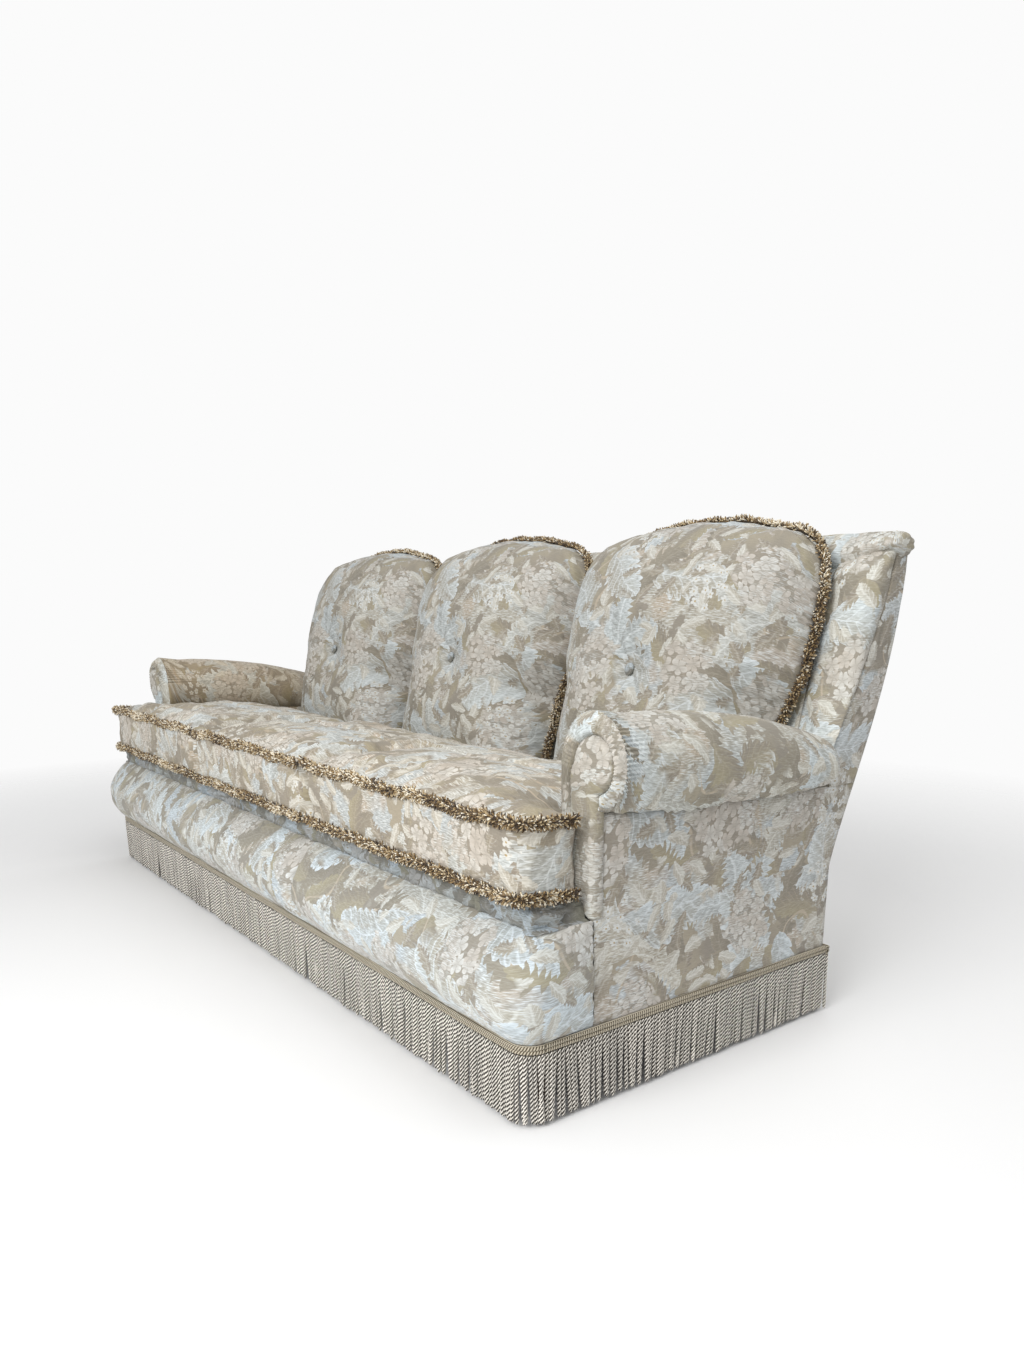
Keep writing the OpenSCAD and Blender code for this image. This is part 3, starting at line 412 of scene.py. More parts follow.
MATH = "ShaderNodeMath"
VEC = "ShaderNodeVectorMath"
FLOAT = "NodeSocketFloat"
VECTOR = "NodeSocketVector"
COLOUR = "NodeSocketColor"
SHADER = "ShaderNodeTree"
NOISE = "ShaderNodeTexNoise"
RAMP = "ShaderNodeMapRange"
HALF_TURN = 3.1416
TURN = 6.283


def leaf_outline(tree, x, y, half_l, half_w, lobes, scallop):
    """A lobed leaf that lies along x round the origin: its mask, its veins,
    its rim and the side a place lies on. The lobes lean forwards and are
    rounded where scallop is 1, pointed where it is 0."""
    away = add(tree, MATH, y, operation="ABSOLUTE")
    t = add(tree, MATH, x, half_l, operation="DIVIDE")
    out = add(tree, MATH, away, half_w, operation="DIVIDE")
    slant = add(tree, MATH, out, -2.0, operation="MULTIPLY")
    count = add(tree, MATH, t, lobes, slant, operation="MULTIPLY_ADD")
    saw = add(tree, MATH, count, operation="FRACT")
    pointed = add(tree, MATH, saw, -0.6, 1.14, operation="MULTIPLY_ADD")
    arch = add(tree, MATH, saw, HALF_TURN, operation="MULTIPLY")
    hump = add(tree, MATH, arch, operation="SINE")
    full = add(tree, MATH, hump, 0.5, operation="POWER")
    rounded = add(tree, MATH, full, 0.36, 0.7, operation="MULTIPLY_ADD")
    bite = add(tree, "ShaderNodeMix", scallop, pointed, rounded, data_type="FLOAT")
    # Widest a third of the way up, pointed at the tip
    shift = add(tree, MATH, t, 0.22, operation="ADD")
    swell = add(tree, MATH, shift, shift, operation="MULTIPLY")
    body = add(tree, MATH, 1.0, swell, operation="SUBTRACT", use_clamp=True)
    wide = add(tree, MATH, body, 0.65, operation="POWER")
    lobe = add(tree, MATH, wide, bite, operation="MULTIPLY")
    reach = add(tree, MATH, lobe, half_w, operation="MULTIPLY")
    edge = add(tree, MATH, reach, away, operation="SUBTRACT")
    mask = add(tree, MATH, edge, 700.0, operation="MULTIPLY", use_clamp=True)
    rib = add(tree, RAMP, away, 0.0008, 0.0026, 1.0, 0.0)
    middle = add(tree, MATH, scallop, -0.5, saw, operation="MULTIPLY_ADD")
    off = add(tree, MATH, middle, operation="ABSOLUTE")
    line = add(tree, RAMP, off, 0.02, 0.16, 0.9, 0.0)
    veins = add(tree, MATH, rib, line, operation="MAXIMUM")
    rim = add(tree, RAMP, edge, 0.001, 0.009, 1.0, 0.0)
    halves = add(tree, MATH, y, half_w, operation="DIVIDE")
    side = add(tree, MATH, halves, 0.8, 0.5, operation="MULTIPLY_ADD", use_clamp=True)
    return mask, veins, rim, side


LEAF_INPUTS = [("Cloth", VECTOR, None), ("Cells per metre", FLOAT, 8.0),
               ("Half length", FLOAT, 0.08), ("Half width", FLOAT, 0.03), ("Lobes", FLOAT, 5.0),
               ("Scallop", FLOAT, 0.0)]
LEAF_OUTPUTS = [("Mask", FLOAT), ("Vein", FLOAT), ("Rim", FLOAT), ("Side", FLOAT), ("Tint", FLOAT)]


def scattered(tree, place, cells, spread):
    """One spot to each cell: the way from it, and its random numbers."""
    cell = add(tree, "ShaderNodeTexVoronoi", place, cells, voronoi_dimensions="2D")
    cell.inputs["Randomness"].default_value = spread
    chance = add(tree, "ShaderNodeSeparateColor", cell.outputs["Color"])
    local = add(tree, VEC, place, cell.outputs["Position"], operation="SUBTRACT")
    return local, chance


def ended(tree, end, *given):
    """Links what a group makes to its outputs."""
    for socket, source in zip(end.inputs, given):
        feed(tree, socket, source)
    return tree


def leaf_group():
    """Scattered woven leaves: one to each cell, turned at random and bent."""
    tree, (place, cells, *form), end = group("woven leaves", SHADER, LEAF_INPUTS, LEAF_OUTPUTS)
    local, chance = scattered(tree, place, cells, 0.6)
    turn = add(tree, MATH, chance.outputs[0], TURN, operation="MULTIPLY")
    turned = add(tree, "ShaderNodeVectorRotate", local, None, turn, rotation_type="Z_AXIS")
    xyz = add(tree, "ShaderNodeSeparateXYZ", turned)
    x = xyz.outputs[0]
    bend = add(tree, MATH, chance.outputs[1], -0.5, operation="ADD")
    bent = add(tree, MATH, bend, 9.0, operation="MULTIPLY")
    square = add(tree, MATH, x, x, operation="MULTIPLY")
    y = add(tree, MATH, square, bent, xyz.outputs[1], operation="MULTIPLY_ADD")
    return ended(tree, end, *leaf_outline(tree, x, y, *form), chance.outputs[2])


def plant_group():
    """Scattered acanthus plants: in each cell a fan of lobed fronds that grow
    up from one foot and droop outwards."""
    tree, (place, cells, half_l, *form), end = group("woven acanthus", SHADER, LEAF_INPUTS,
                                                     LEAF_OUTPUTS)
    local, chance = scattered(tree, place, cells, 0.55)
    xyz = add(tree, "ShaderNodeSeparateXYZ", local)
    r = add(tree, VEC, local, operation="LENGTH").outputs["Value"]
    angle = add(tree, MATH, xyz.outputs[0], xyz.outputs[1], operation="ARCTAN2")
    lean = add(tree, MATH, chance.outputs[0], 1.2, -0.6, operation="MULTIPLY_ADD")
    leaning = add(tree, MATH, angle, lean, operation="ADD")
    droop = add(tree, MATH, r, 3.0, 1.0, operation="MULTIPLY_ADD")
    straight = add(tree, MATH, leaning, droop, operation="DIVIDE")
    # Nine fronds would fill the whole turn, and five of them grow
    sector = add(tree, MATH, straight, 9.0 / TURN, operation="MULTIPLY")
    number = add(tree, MATH, sector, operation="ROUND")
    part = add(tree, MATH, sector, number, operation="SUBTRACT")
    swing = add(tree, MATH, part, TURN / 9.0, operation="MULTIPLY")
    across = add(tree, MATH, add(tree, MATH, swing, operation="SINE"), r, operation="MULTIPLY")
    along = add(tree, MATH, add(tree, MATH, swing, operation="COSINE"), r, operation="MULTIPLY")
    foot = add(tree, MATH, half_l, -0.85, along, operation="MULTIPLY_ADD")
    mask, *rest = leaf_outline(tree, foot, across, half_l, *form)
    fan = add(tree, MATH, add(tree, MATH, number, operation="ABSOLUTE"), 2.5, operation="LESS_THAN")
    mask = add(tree, MATH, mask, fan, operation="MULTIPLY")
    return ended(tree, end, mask, *rest, chance.outputs[2])


def flower_group():
    """Scattered woven blossoms: one to each cell, with rounded petals."""
    tree, (place, cells, radius, petals), end = group(
        "woven blossoms", SHADER,
        [("Cloth", VECTOR, None), ("Cells per metre", FLOAT, 40.0), ("Radius", FLOAT, 0.013),
         ("Petals", FLOAT, 5.0)],
        [("Mask", FLOAT), ("Shade", FLOAT), ("Eye", FLOAT), ("Tint", FLOAT)])
    local, chance = scattered(tree, place, cells, 0.75)
    xyz = add(tree, "ShaderNodeSeparateXYZ", local)
    r = add(tree, VEC, local, operation="LENGTH").outputs["Value"]
    angle = add(tree, MATH, xyz.outputs[1], xyz.outputs[0], operation="ARCTAN2")
    turned = add(tree, MATH, chance.outputs[0], TURN, angle, operation="MULTIPLY_ADD")
    half = add(tree, MATH, petals, 0.5, operation="MULTIPLY")
    phase = add(tree, MATH, turned, half, operation="MULTIPLY")
    wave = add(tree, MATH, phase, operation="SINE")
    lobe = add(tree, MATH, wave, operation="ABSOLUTE")
    round_lobe = add(tree, MATH, lobe, 0.55, operation="POWER")
    size = add(tree, MATH, round_lobe, 0.55, 0.45, operation="MULTIPLY_ADD")
    reach = add(tree, MATH, size, radius, operation="MULTIPLY")
    edge = add(tree, MATH, reach, r, operation="SUBTRACT")
    mask = add(tree, MATH, edge, 1200.0, operation="MULTIPLY", use_clamp=True)
    part = add(tree, MATH, r, radius, operation="DIVIDE")
    crease = add(tree, RAMP, lobe, 0.0, 0.5, 0.35, 1.0)
    cup = add(tree, RAMP, part, 0.15, 0.8, 0.55, 1.0)
    shade = add(tree, MATH, crease, cup, operation="MULTIPLY")
    eye = add(tree, RAMP, part, 0.16, 0.24, 1.0, 0.0)
    return ended(tree, end, mask, shade, eye, chance.outputs[2])


def shape(kind, tree, place, *sizes):
    """A group of nodes set over the cloth, such as scattered leaves."""
    node = add(tree, "ShaderNodeGroup", node_tree=kind)
    for socket, given in zip(node.inputs, (place, *sizes)):
        feed(tree, socket, given)
    return node


def tapestry_group(leaves, plants, flowers):
    """Floral tapestry weave. Smooth taupe silhouettes lie against pale ground,
    leaves and blossoms, and these pale parts are crossed by weft slubs."""
    tree, (given,), end = group("floral tapestry", SHADER, [("Cloth", VECTOR, None)],
                                [("Colour", COLOUR), ("Height", FLOAT)])
    cloth = add(tree, VEC, given, (1.15, 1.15, 1.0), operation="MULTIPLY")

    def patch(place, scale, detail, low, high):
        """Patches of a noise, cut off softly between two of its levels."""
        cloud = add(tree, NOISE, place, scale, detail, 0.6, noise_dimensions="2D")
        return add(tree, RAMP, cloud, low, high, 0.0, 1.0)

    def over(base, top, mask, share=None):
        """Lays one colour over another where the mask is, and where a share is
        given, as strongly as it says."""
        if share is not None:
            mask = add(tree, MATH, mask, share, operation="MULTIPLY")
        base, top = [colour(c) if isinstance(c, str) else c for c in (base, top)]
        return add(tree, "ShaderNodeMix", mask, base, top, data_type="RGBA")

    def moved(place, x, y):
        """The place, taken from another part of the cloth."""
        return add(tree, VEC, place, (x, y, 0.0), operation="ADD")

    def warped(place, scale, reach):
        """The place, shifted a little this way and that."""
        cloud = add(tree, NOISE, place, scale, 2.0, 0.5, noise_dimensions="2D")
        centred = add(tree, VEC, cloud.outputs["Color"], (0.5, 0.5, 0.5), operation="SUBTRACT")
        scaled = add(tree, VEC, centred, (reach, reach, 0.0), operation="MULTIPLY")
        return add(tree, VEC, place, scaled, operation="ADD")

    def tinted(leaf, deep, pale, line, veined=0.7, rimmed=0.0):
        """A leaf shaded from its dark half to its pale half, with veins and a
        rim in its lightest tone."""
        tone = over(deep, pale, leaf.outputs["Side"])
        tone = over(tone, line, leaf.outputs["Rim"], rimmed)
        return over(tone, line, leaf.outputs["Vein"], veined)

    def laid(result, woven, tone, mask, slubs):
        """Lays a shape on the cloth, with slubs across it or smooth."""
        woven = add(tree, "ShaderNodeMix", mask, woven, slubs, data_type="FLOAT")
        return over(result, tone, mask), woven

    soft = warped(cloth, 7.0, 0.045)
    drawn = warped(soft, 55.0, 0.009)
    # Pale ground: beige against silvery blue
    silver = patch(moved(soft, 2.7, 7.9), 4.0, 2.0, 0.42, 0.56)
    result = over("#b3ac9c", "#b5bab9", silver)
    blush = patch(moved(soft, 1.2, 8.8), 6.0, 2.0, 0.54, 0.62)
    result = over(result, "#bda990", blush, 0.6)
    # woven is 1 where slubs cross the cloth and 0 on the smooth silhouettes
    woven = patch(moved(drawn, 3.1, 1.7), 8.0, 4.0, 0.545, 0.53)
    result = over(over("#948c7e", "#a59b87", silver), result, woven)
    # Taupe and olive leaf silhouettes
    for place, sizes, tones in (
            ((1.3, 5.1), (5.4, 0.098, 0.043, 4.0, 0.0), ("#8a8273", "#988f7d", "#a59d8c")),
            ((6.3, 9.1), (7.3, 0.07, 0.033, 4.0, 1.0), ("#92897a", "#a3997f", "#afa48c"))):
        leaf = shape(leaves, tree, moved(drawn, *place), *sizes)
        result, woven = laid(result, woven, tinted(leaf, *tones, 0.5), leaf.outputs["Mask"], 0.1)
    # Thin branches that wander between the leaves
    wander = add(tree, NOISE, moved(soft, 4.4, 9.2), 4.5, 1.0, 0.5, noise_dimensions="2D")
    level = add(tree, MATH, wander, -0.5, operation="ADD")
    near = add(tree, MATH, level, operation="ABSOLUTE")
    branch = add(tree, RAMP, near, 0.004, 0.011, 1.0, 0.0)
    grown = patch(moved(cloth, 0.7, 6.6), 5.0, 1.0, 0.45, 0.5)
    result = over(result, "#b9ab95", branch, grown)
    # Pale acanthus plants and large scalloped leaves
    plant = shape(plants, tree, moved(drawn, 2.2, 0.9), 3.1, 0.088, 0.031, 5.0, 0.0)
    tone = over(tinted(plant, "#a5a9a6", "#c6ccca", "#dde1df", 0.7, 0.5),
                tinted(plant, "#a89f8c", "#c6bfae", "#dad6c8", 0.7, 0.5), plant.outputs["Tint"])
    result, woven = laid(result, woven, tone, plant.outputs["Mask"], 0.75)
    big = shape(leaves, tree, moved(drawn, 8.2, 0.4), 4.4, 0.11, 0.055, 4.0, 1.0)
    tone = over(tinted(big, "#a99d86", "#c5c7c0", "#dfe2df", 0.7, 0.85),
                tinted(big, "#a6aaa6", "#c3cbcc", "#e0e5e5", 0.6, 0.6), big.outputs["Tint"])
    grown = patch(moved(soft, 9.7, 3.6), 3.0, 1.0, 0.43, 0.46)
    mask = add(tree, MATH, big.outputs["Mask"], grown, operation="MULTIPLY")
    result, woven = laid(result, woven, tone, mask, 0.7)
    lines = add(tree, MATH, big.outputs["Vein"], mask, operation="MULTIPLY")
    # Small sprigs, taupe and cream
    for place, sizes, tones in (
            ((2.9, 3.3), (15.0, 0.034, 0.015, 3.0, 0.0), ("#93897a", "#9f9582", "#b6ad9c")),
            ((4.1, 7.7), (17.0, 0.032, 0.013, 3.0, 1.0), ("#b3ab9a", "#c9c5b8", "#dcd9ce"))):
        leaf = shape(leaves, tree, moved(drawn, *place), *sizes)
        grown = patch(moved(cloth, *place), 6.0, 2.0, 0.47, 0.52)
        mask = add(tree, MATH, leaf.outputs["Mask"], grown, operation="MULTIPLY")
        result, woven = laid(result, woven, tinted(leaf, *tones), mask, 0.3)
    # Hydrangea heads: clusters of cream and faintly pink blossoms
    heads = add(tree, "ShaderNodeTexVoronoi", moved(drawn, 6.1, 4.7), 4.2, voronoi_dimensions="2D")
    ragged = add(tree, NOISE, drawn, 30.0, 2.0, 0.6, noise_dimensions="2D")
    spread = add(tree, MATH, ragged, 0.35, heads.outputs["Distance"], operation="MULTIPLY_ADD")
    cluster = add(tree, RAMP, spread, 0.41, 0.44, 1.0, 0.0)
    bloom = shape(flowers, tree, warped(soft, 60.0, 0.004), 31.0, 0.0205, 5.0)
    petal = over("#c3b9ab", "#d3cfc5", bloom.outputs["Tint"])
    petal = over("#a0988a", petal, bloom.outputs["Shade"])
    result = over(result, "#9a9182", cluster, 0.85)
    result = over(result, petal, cluster, bloom.outputs["Mask"])
    # Small groups of white daisies
    beds = add(tree, "ShaderNodeTexVoronoi", moved(soft, 9.4, 8.8), 3.0, voronoi_dimensions="2D")
    bed = add(tree, RAMP, beds.outputs["Distance"], 0.15, 0.19, 1.0, 0.0)
    daisy = shape(flowers, tree, moved(soft, 0.2, 0.1), 38.0, 0.0095, 5.0)
    white = over("#d5d4cc", "#b39d72", daisy.outputs["Eye"])
    result = over(result, white, bed, daisy.outputs["Mask"])
    # Weft slubs: the real ones are under 1 mm, drawn 2 mm high so that they show
    weft = add(tree, VEC, given, (75.0, 520.0, 1.0), operation="MULTIPLY")
    slub = add(tree, NOISE, weft, 1.0, 2.0, 0.6, noise_dimensions="2D")
    light = add(tree, RAMP, slub, 0.5, 0.68, 0.0, 0.75)
    result = over(result, "#d8dbd7", light, woven)
    dark = add(tree, RAMP, slub, 0.47, 0.33, 0.0, 0.5)
    result = over(result, "#8b8476", dark, woven)
    ribs = add(tree, RAMP, slub, 0.3, 0.7, 0.93, 1.07)
    result = add(tree, VEC, result, ribs, operation="MULTIPLY")
    relief = add(tree, MATH, lines, 0.6, slub, operation="MULTIPLY_ADD")
    return ended(tree, end, result, relief)


def material(name):
    """A new material, its tree and its surface shader."""
    mat = bpy.data.materials.new(name)
    mat.use_nodes = True
    mat.node_tree.nodes.clear()
    surface = add(mat.node_tree, "ShaderNodeBsdfPrincipled")
    add(mat.node_tree, "ShaderNodeOutputMaterial", surface)
    return mat, mat.node_tree, surface


def finish_shader(tree, surface, base, rough, height=None, depth=0.0005, sheen=0.0, metal=0.0):
    """Links colour, roughness and relief to the surface shader."""
    for title, given in (
            ("Base Color", base), ("Roughness", rough), ("Sheen Weight", sheen),
            ("Sheen Roughness", 0.5), ("Metallic", metal)):
        feed(tree, surface.inputs[title], given)
    if height is not None:
        bump = add(tree, "ShaderNodeBump")
        for title, given in (("Strength", 1.0), ("Distance", depth), ("Height", height)):
            feed(tree, bump.inputs[title], given)
        feed(tree, surface.inputs["Normal"], bump)


def tapestry_cloth(name, tree_group, shade=(1.0, 1.0, 1.0)):
    """Jacquard tapestry: wool-like weft over cotton warp. Matt, with a slight
    bloom at grazing angles and fine ribs that run across."""
    mat, tree, surface = material(name)
    cloth = add(tree, "ShaderNodeUVMap", uv_map="cloth")
    weave = shape(tree_group, tree, cloth)
    base = add(tree, VEC, weave.outputs["Colour"], shade, operation="MULTIPLY")
    finish_shader(tree, surface, base, 0.86, weave.outputs["Height"], 0.0006, sheen=0.12)
    return mat


def plain_weave():
    """Plain woven deck cloth: an even cotton weave, a little crumpled."""
    mat, tree, surface = material("deck cloth, plain cotton weave")
    where = add(tree, "ShaderNodeTexCoord").outputs["Object"]
    # The real threads are 0.5 mm, drawn 1.5 mm so that they show
    scaled = add(tree, VEC, where, (650.0, 650.0, 650.0), operation="MULTIPLY")
    threads = add(tree, NOISE, scaled, 1.0, 2.0, 0.6)
    clouds = add(tree, NOISE, where, 9.0, 3.0, 0.6)
    base = add(tree, "ShaderNodeMix", clouds, colour("#8f9298"), colour("#a9a49c"),
               data_type="RGBA")
    tone = add(tree, RAMP, threads, 0.3, 0.7, 0.85, 1.12)
    base = add(tree, VEC, base, tone, operation="MULTIPLY")
    finish_shader(tree, surface, base, 0.9, threads, 0.0004, sheen=0.1)
    return mat


def cord_material(name, light, middle, dark, turns, lean):
    """Twisted rayon cord: plies laid round each other. Each ply gets a painted highlight on its
    back and painted shade in the groove beside the next one. turns is how often the plies come
    round in a metre, lean how many of them lie side by side."""
    mat, tree, surface = material(name)
    cloth = add(tree, "ShaderNodeUVMap", uv_map="cloth")
    xyz = add(tree, "ShaderNodeSeparateXYZ", cloth)
    along = add(tree, MATH, xyz.outputs[1], turns, operation="MULTIPLY")
    phase = add(tree, MATH, xyz.outputs[0], lean, along, operation="MULTIPLY_ADD")
    lay = add(tree, MATH, phase, operation="FRACT")
    back = add(tree, MATH, lay, HALF_TURN, operation="MULTIPLY")
    crown = add(tree, MATH, back, operation="SINE")
    tint = add(tree, "ShaderNodeAttribute", attribute_name="tint")
    fibre_place = add(tree, VEC, cloth, (30.0, 900.0, 1.0), operation="MULTIPLY")
    fibre = add(tree, NOISE, fibre_place, 1.0, 2.0, 0.6, noise_dimensions="2D")
    # The groove tone dark is painted shade and the crest tone light is the pale ply with a painted
    # highlight
    low = add(tree, RAMP, crown, 0.4, 0.72, 0.0, 1.0)
    high = add(tree, RAMP, crown, 0.66, 0.9, 0.0, 1.0)
    base = add(tree, "ShaderNodeMix", low, colour(dark), colour(middle), data_type="RGBA")
    base = add(tree, "ShaderNodeMix", high, base, colour(light), data_type="RGBA")
    mixed = add(tree, MATH, tint.outputs["Fac"], fibre, operation="ADD")
    tone = add(tree, RAMP, mixed, 0.3, 1.6, 0.78, 1.15)
    base = add(tree, VEC, base, tone, operation="MULTIPLY")
    finish_shader(tree, surface, base, 0.55, crown, 0.002, sheen=0.1)
    return mat


def pile_material():
    """Cut brush fringe: dyed yarns in dark brown, tan and cream, with painted shade that darkens
    them towards their roots and lightens them at their cut tips."""
    mat, tree, surface = material("brush fringe, cut yarn")
    tint = add(tree, "ShaderNodeAttribute", attribute_name="tint").outputs["Fac"]
    tip = add(tree, "ShaderNodeAttribute", attribute_name="tip").outputs["Fac"]
    ramp = add(tree, "ShaderNodeValToRGB", tint)
    stops = ((0.0, "#3b2c1d"), (0.3, "#69522f"), (0.52, "#957a50"), (0.78, "#c7b48f"),
             (1.0, "#f0e8d5"))
    for _ in stops[2:]:
        ramp.color_ramp.elements.new(0.5)
    for element, (place, code) in zip(ramp.color_ramp.elements, stops):
        element.position = place
        element.color = colour(code)
    # Painted shade: each yarn is dark at its root, inside the tangle, and brighter at its cut tip
    tone = add(tree, RAMP, tip, 0.0, 1.0, 0.4, 1.15)
    base = add(tree, VEC, ramp, tone, operation="MULTIPLY")
    finish_shader(tree, surface, base, 0.8, sheen=0.2)
    return mat


def grained(name, pale, deep, rough, coarse, metal=0.0):
    """Sawn wood or drawn metal: streaks along the piece's own X, with the
    roughness following them."""
    mat, tree, surface = material(name)
    where = add(tree, "ShaderNodeTexCoord").outputs["Object"]
    drawn = add(tree, VEC, where, (coarse * 0.08, coarse, coarse), operation="MULTIPLY")
    grain = add(tree, NOISE, drawn, 1.0, 4.0, 0.65)
    base = add(tree, "ShaderNodeMix", grain, colour(deep), colour(pale), data_type="RGBA")
    dull = add(tree, RAMP, grain, 0.3, 0.7, rough - 0.1, rough + 0.1)
    finish_shader(tree, surface, base, dull, grain, 0.0002, metal=metal)
    return mat


# The same weave, tinted for each part of the sofa. The golden, beige and silvery tints follow the
# colours of the pattern there; the darker copies for the side panels, the back cushions, and the
# deck lip with the buttons are painted shade
tapestry_tree = tapestry_group(leaf_group(), plant_group(), flower_group())
WARM, GOLDEN, TAPESTRY, SEAT, CUSHION, PANEL, BORDER, DIM = [
    tapestry_cloth(name, tapestry_tree, shade) for name, shade in (
        ("arm tapestry in its more golden shades", (0.88, 0.79, 0.69)),
        ("roll tapestry in its more golden shades", (0.92, 0.85, 0.77)),
        ("floral tapestry, jacquard woven", (1.02, 1.05, 1.09)),
        ("seat tapestry in its more beige shades", (1.04, 1.03, 1.03)),
        # Painted shade: the back cushions take a darker copy of the same weave
        ("cushion tapestry, darkened with painted shade", (0.88, 0.9, 0.94)),
        # Painted shade: the side panels are darker, partly from their greyer leaves and partly to
        # stand for the shade on the sides
        ("side panel tapestry, greyer and darkened with painted shade", (0.94, 0.96, 1.01)),
        ("border tapestry in its more silvery shades", (1.02, 1.08, 1.17)),
        # Painted shade: the deck lip and the buttons take a much darker, bluer copy; the blue is
        # the weave's own, the darkness stands for the shade under the seat cushions
        ("floral tapestry, bluer and darkened with painted shade", (0.6, 0.67, 0.77)))]
DECK = plain_weave()
# In both cords the pale colour is the ply with a painted highlight on its crest and the dark colour
# is painted shade in its grooves
BULLION = cord_material("bullion fringe, twisted rayon cord",
                        "#faf5eb", "#a0968a", "#1a140d", 0.0, 3.0)
BRAID = cord_material("fringe heading, twisted golden cord",
                      "#e2d8c2", "#bbac8e", "#6a5c44", 230.0, -2.0)
PILE = pile_material()
HIDDEN = {
    "frame_wood": grained("frame wood, sawn beech", "#c79f74", "#9c7850", 0.7, 120),
    "foot_wood": grained("feet, dark stained beech", "#4a2f1d", "#2b1a10", 0.45, 160),
    "spring_steel": grained("springs and studs, plain drawn steel", "#8d9094", "#64676b", 0.4, 300,
                            0.9),
    "glide_plastic": grained("glides, moulded nylon", "#2b2b2c", "#1b1b1c", 0.5, 700),
    "dust_cloth": grained("dust cover, black non-woven cloth", "#262626", "#121212", 0.95, 900),
}
for part in frame["record"]["subparts"]:
    if part["material_slot"] in HIDDEN:
        mesh = frame["nodes"][part["node"]].data
        if not mesh.materials:
            mesh.materials.append(None)
        for k in range(len(mesh.materials)):
            mesh.materials[k] = HIDDEN[part["material_slot"]]

# Front border, deck and outside panels

BULGE = 38 + (8 + 28) / 2


def border_ring(place, out, bulge, inner, top_out):
    """Section of the border at one place of its path: the padded face from
    the trim up to its top seam, then round the back."""
    t = np.linspace(0, 1, 22)
    face = mix(-8, -top_out, t) + bulge * np.sin(np.pi * t) ** 0.8
    offset = np.concatenate([[-inner, -inner, -8], face, [-top_out - 6]])
    z = mix(BORDER_FOOT, BORDER_TOP, t)
    height = np.concatenate([[BORDER_TOP, CLOTH_FOOT, CLOTH_FOOT], z, [BORDER_TOP]])
    return section(place, out, offset, height)


def seam_shrink(d):
    """What is left of the padding's fullness at the distance d from a seam."""
    return 1 - 0.2 * np.exp(-d / 3) - 0.18 * np.exp(-d / 18)


def puckers(rings, outs, distance, seed):
    """Soft dents, and short creases that run out from the seams and edges."""
    rings = np.array(rings)
    d = np.asarray(distance)[:, None]
    z = rings[:, :, 2]
    low = BORDER_FOOT + 2
    face = np.clip((z - low) / 12, 0, 1) * np.clip((BORDER_TOP + 2 - z) / 6, 0, 1)
    face[:, :4] = 0
    face[:, -1] = 0
    run = np.arange(len(rings))[:, None] * 6.0
    height = 1.5 * ripple(rings, 150, seed) + 0.7 * ripple(rings, 48, seed + 1)
    height += 1.7 * np.exp(-d / 26) * np.sin(z / 3.6 + 2 * ripple(rings, 120, seed + 2))
    top = np.exp(-(BORDER_TOP - z) / 13)
    height += 1.5 * top * np.sin(run / 4.4 + 3 * ripple(rings, 90, seed + 3))
    foot = np.exp(-(z - low) / 16)
    height += 1.2 * foot * np.sin(run / 6.1 + 3 * ripple(rings, 110, seed + 4))
    rings[:, :, :2] += np.array(outs)[:, None, :] * (height * face)[:, :, None]
    return rings


half = SPLIT - SPLIT_GAP / 2
xs = half * np.sin(np.linspace(-np.pi / 2, np.pi / 2, 136))
rings = [border_ring((x, 0), (0, -1), BULGE * seam_shrink(half - abs(x)), 34, 28) for x in xs]
rings = puckers(rings, [(0, -1)] * len(xs), half - abs(xs), 11)
border_mid = loft("border_mid_cover", rings, origin=(0.32, 0.11), centre=3)
dress_fixed(border_mid, BORDER, "border_mid")


def border_path():
    """The end border from its split along the front, round the corner and
    back: its sections, outward directions and distances from a seam."""
    stations = []
    start = SPLIT + SPLIT_GAP / 2
    for x in start + (CORNER_X - start) * np.linspace(0, 1, 124) ** 1.4:
        d = x - start
        slim = mix(1, 0.86, np.clip((x - CORNER_X + 160) / 160, 0, 1) ** 2)
        stations.append(((x, 0), (0, -1), d, BULGE * slim * seam_shrink(d), 34, 28))
    for t, (place, q) in list(zip(np.linspace(0, 1, 13), corner_turn(13)))[1:]:
        bulge = BULGE * mix(0.86, 0.6, t)
        stations.append((place, q, 400, bulge, mix(34, 14, t), mix(28, 19.6, t)))
    for t in np.linspace(0, 1, 17)[1:]:
        place = (HALF_W, mix(CORNER_R, ARM_FRONT, t))
        bulge = BULGE * mix(0.6, 0.06, t ** 1.6)
        stations.append((place, (1, 0), (1 - t) * 92, bulge, 14, mix(19.6, 9, t)))
    rings = [border_ring(place, q, *form) for place, q, _, *form in stations]
    return rings, [s[1] for s in stations], [s[2] for s in stations]


border_right = loft("border_right_cover", puckers(*border_path(), 23), origin=(1.1, 0.45), centre=3)
dress_both(border_right, "border", (1.7, 0.9), BORDER)


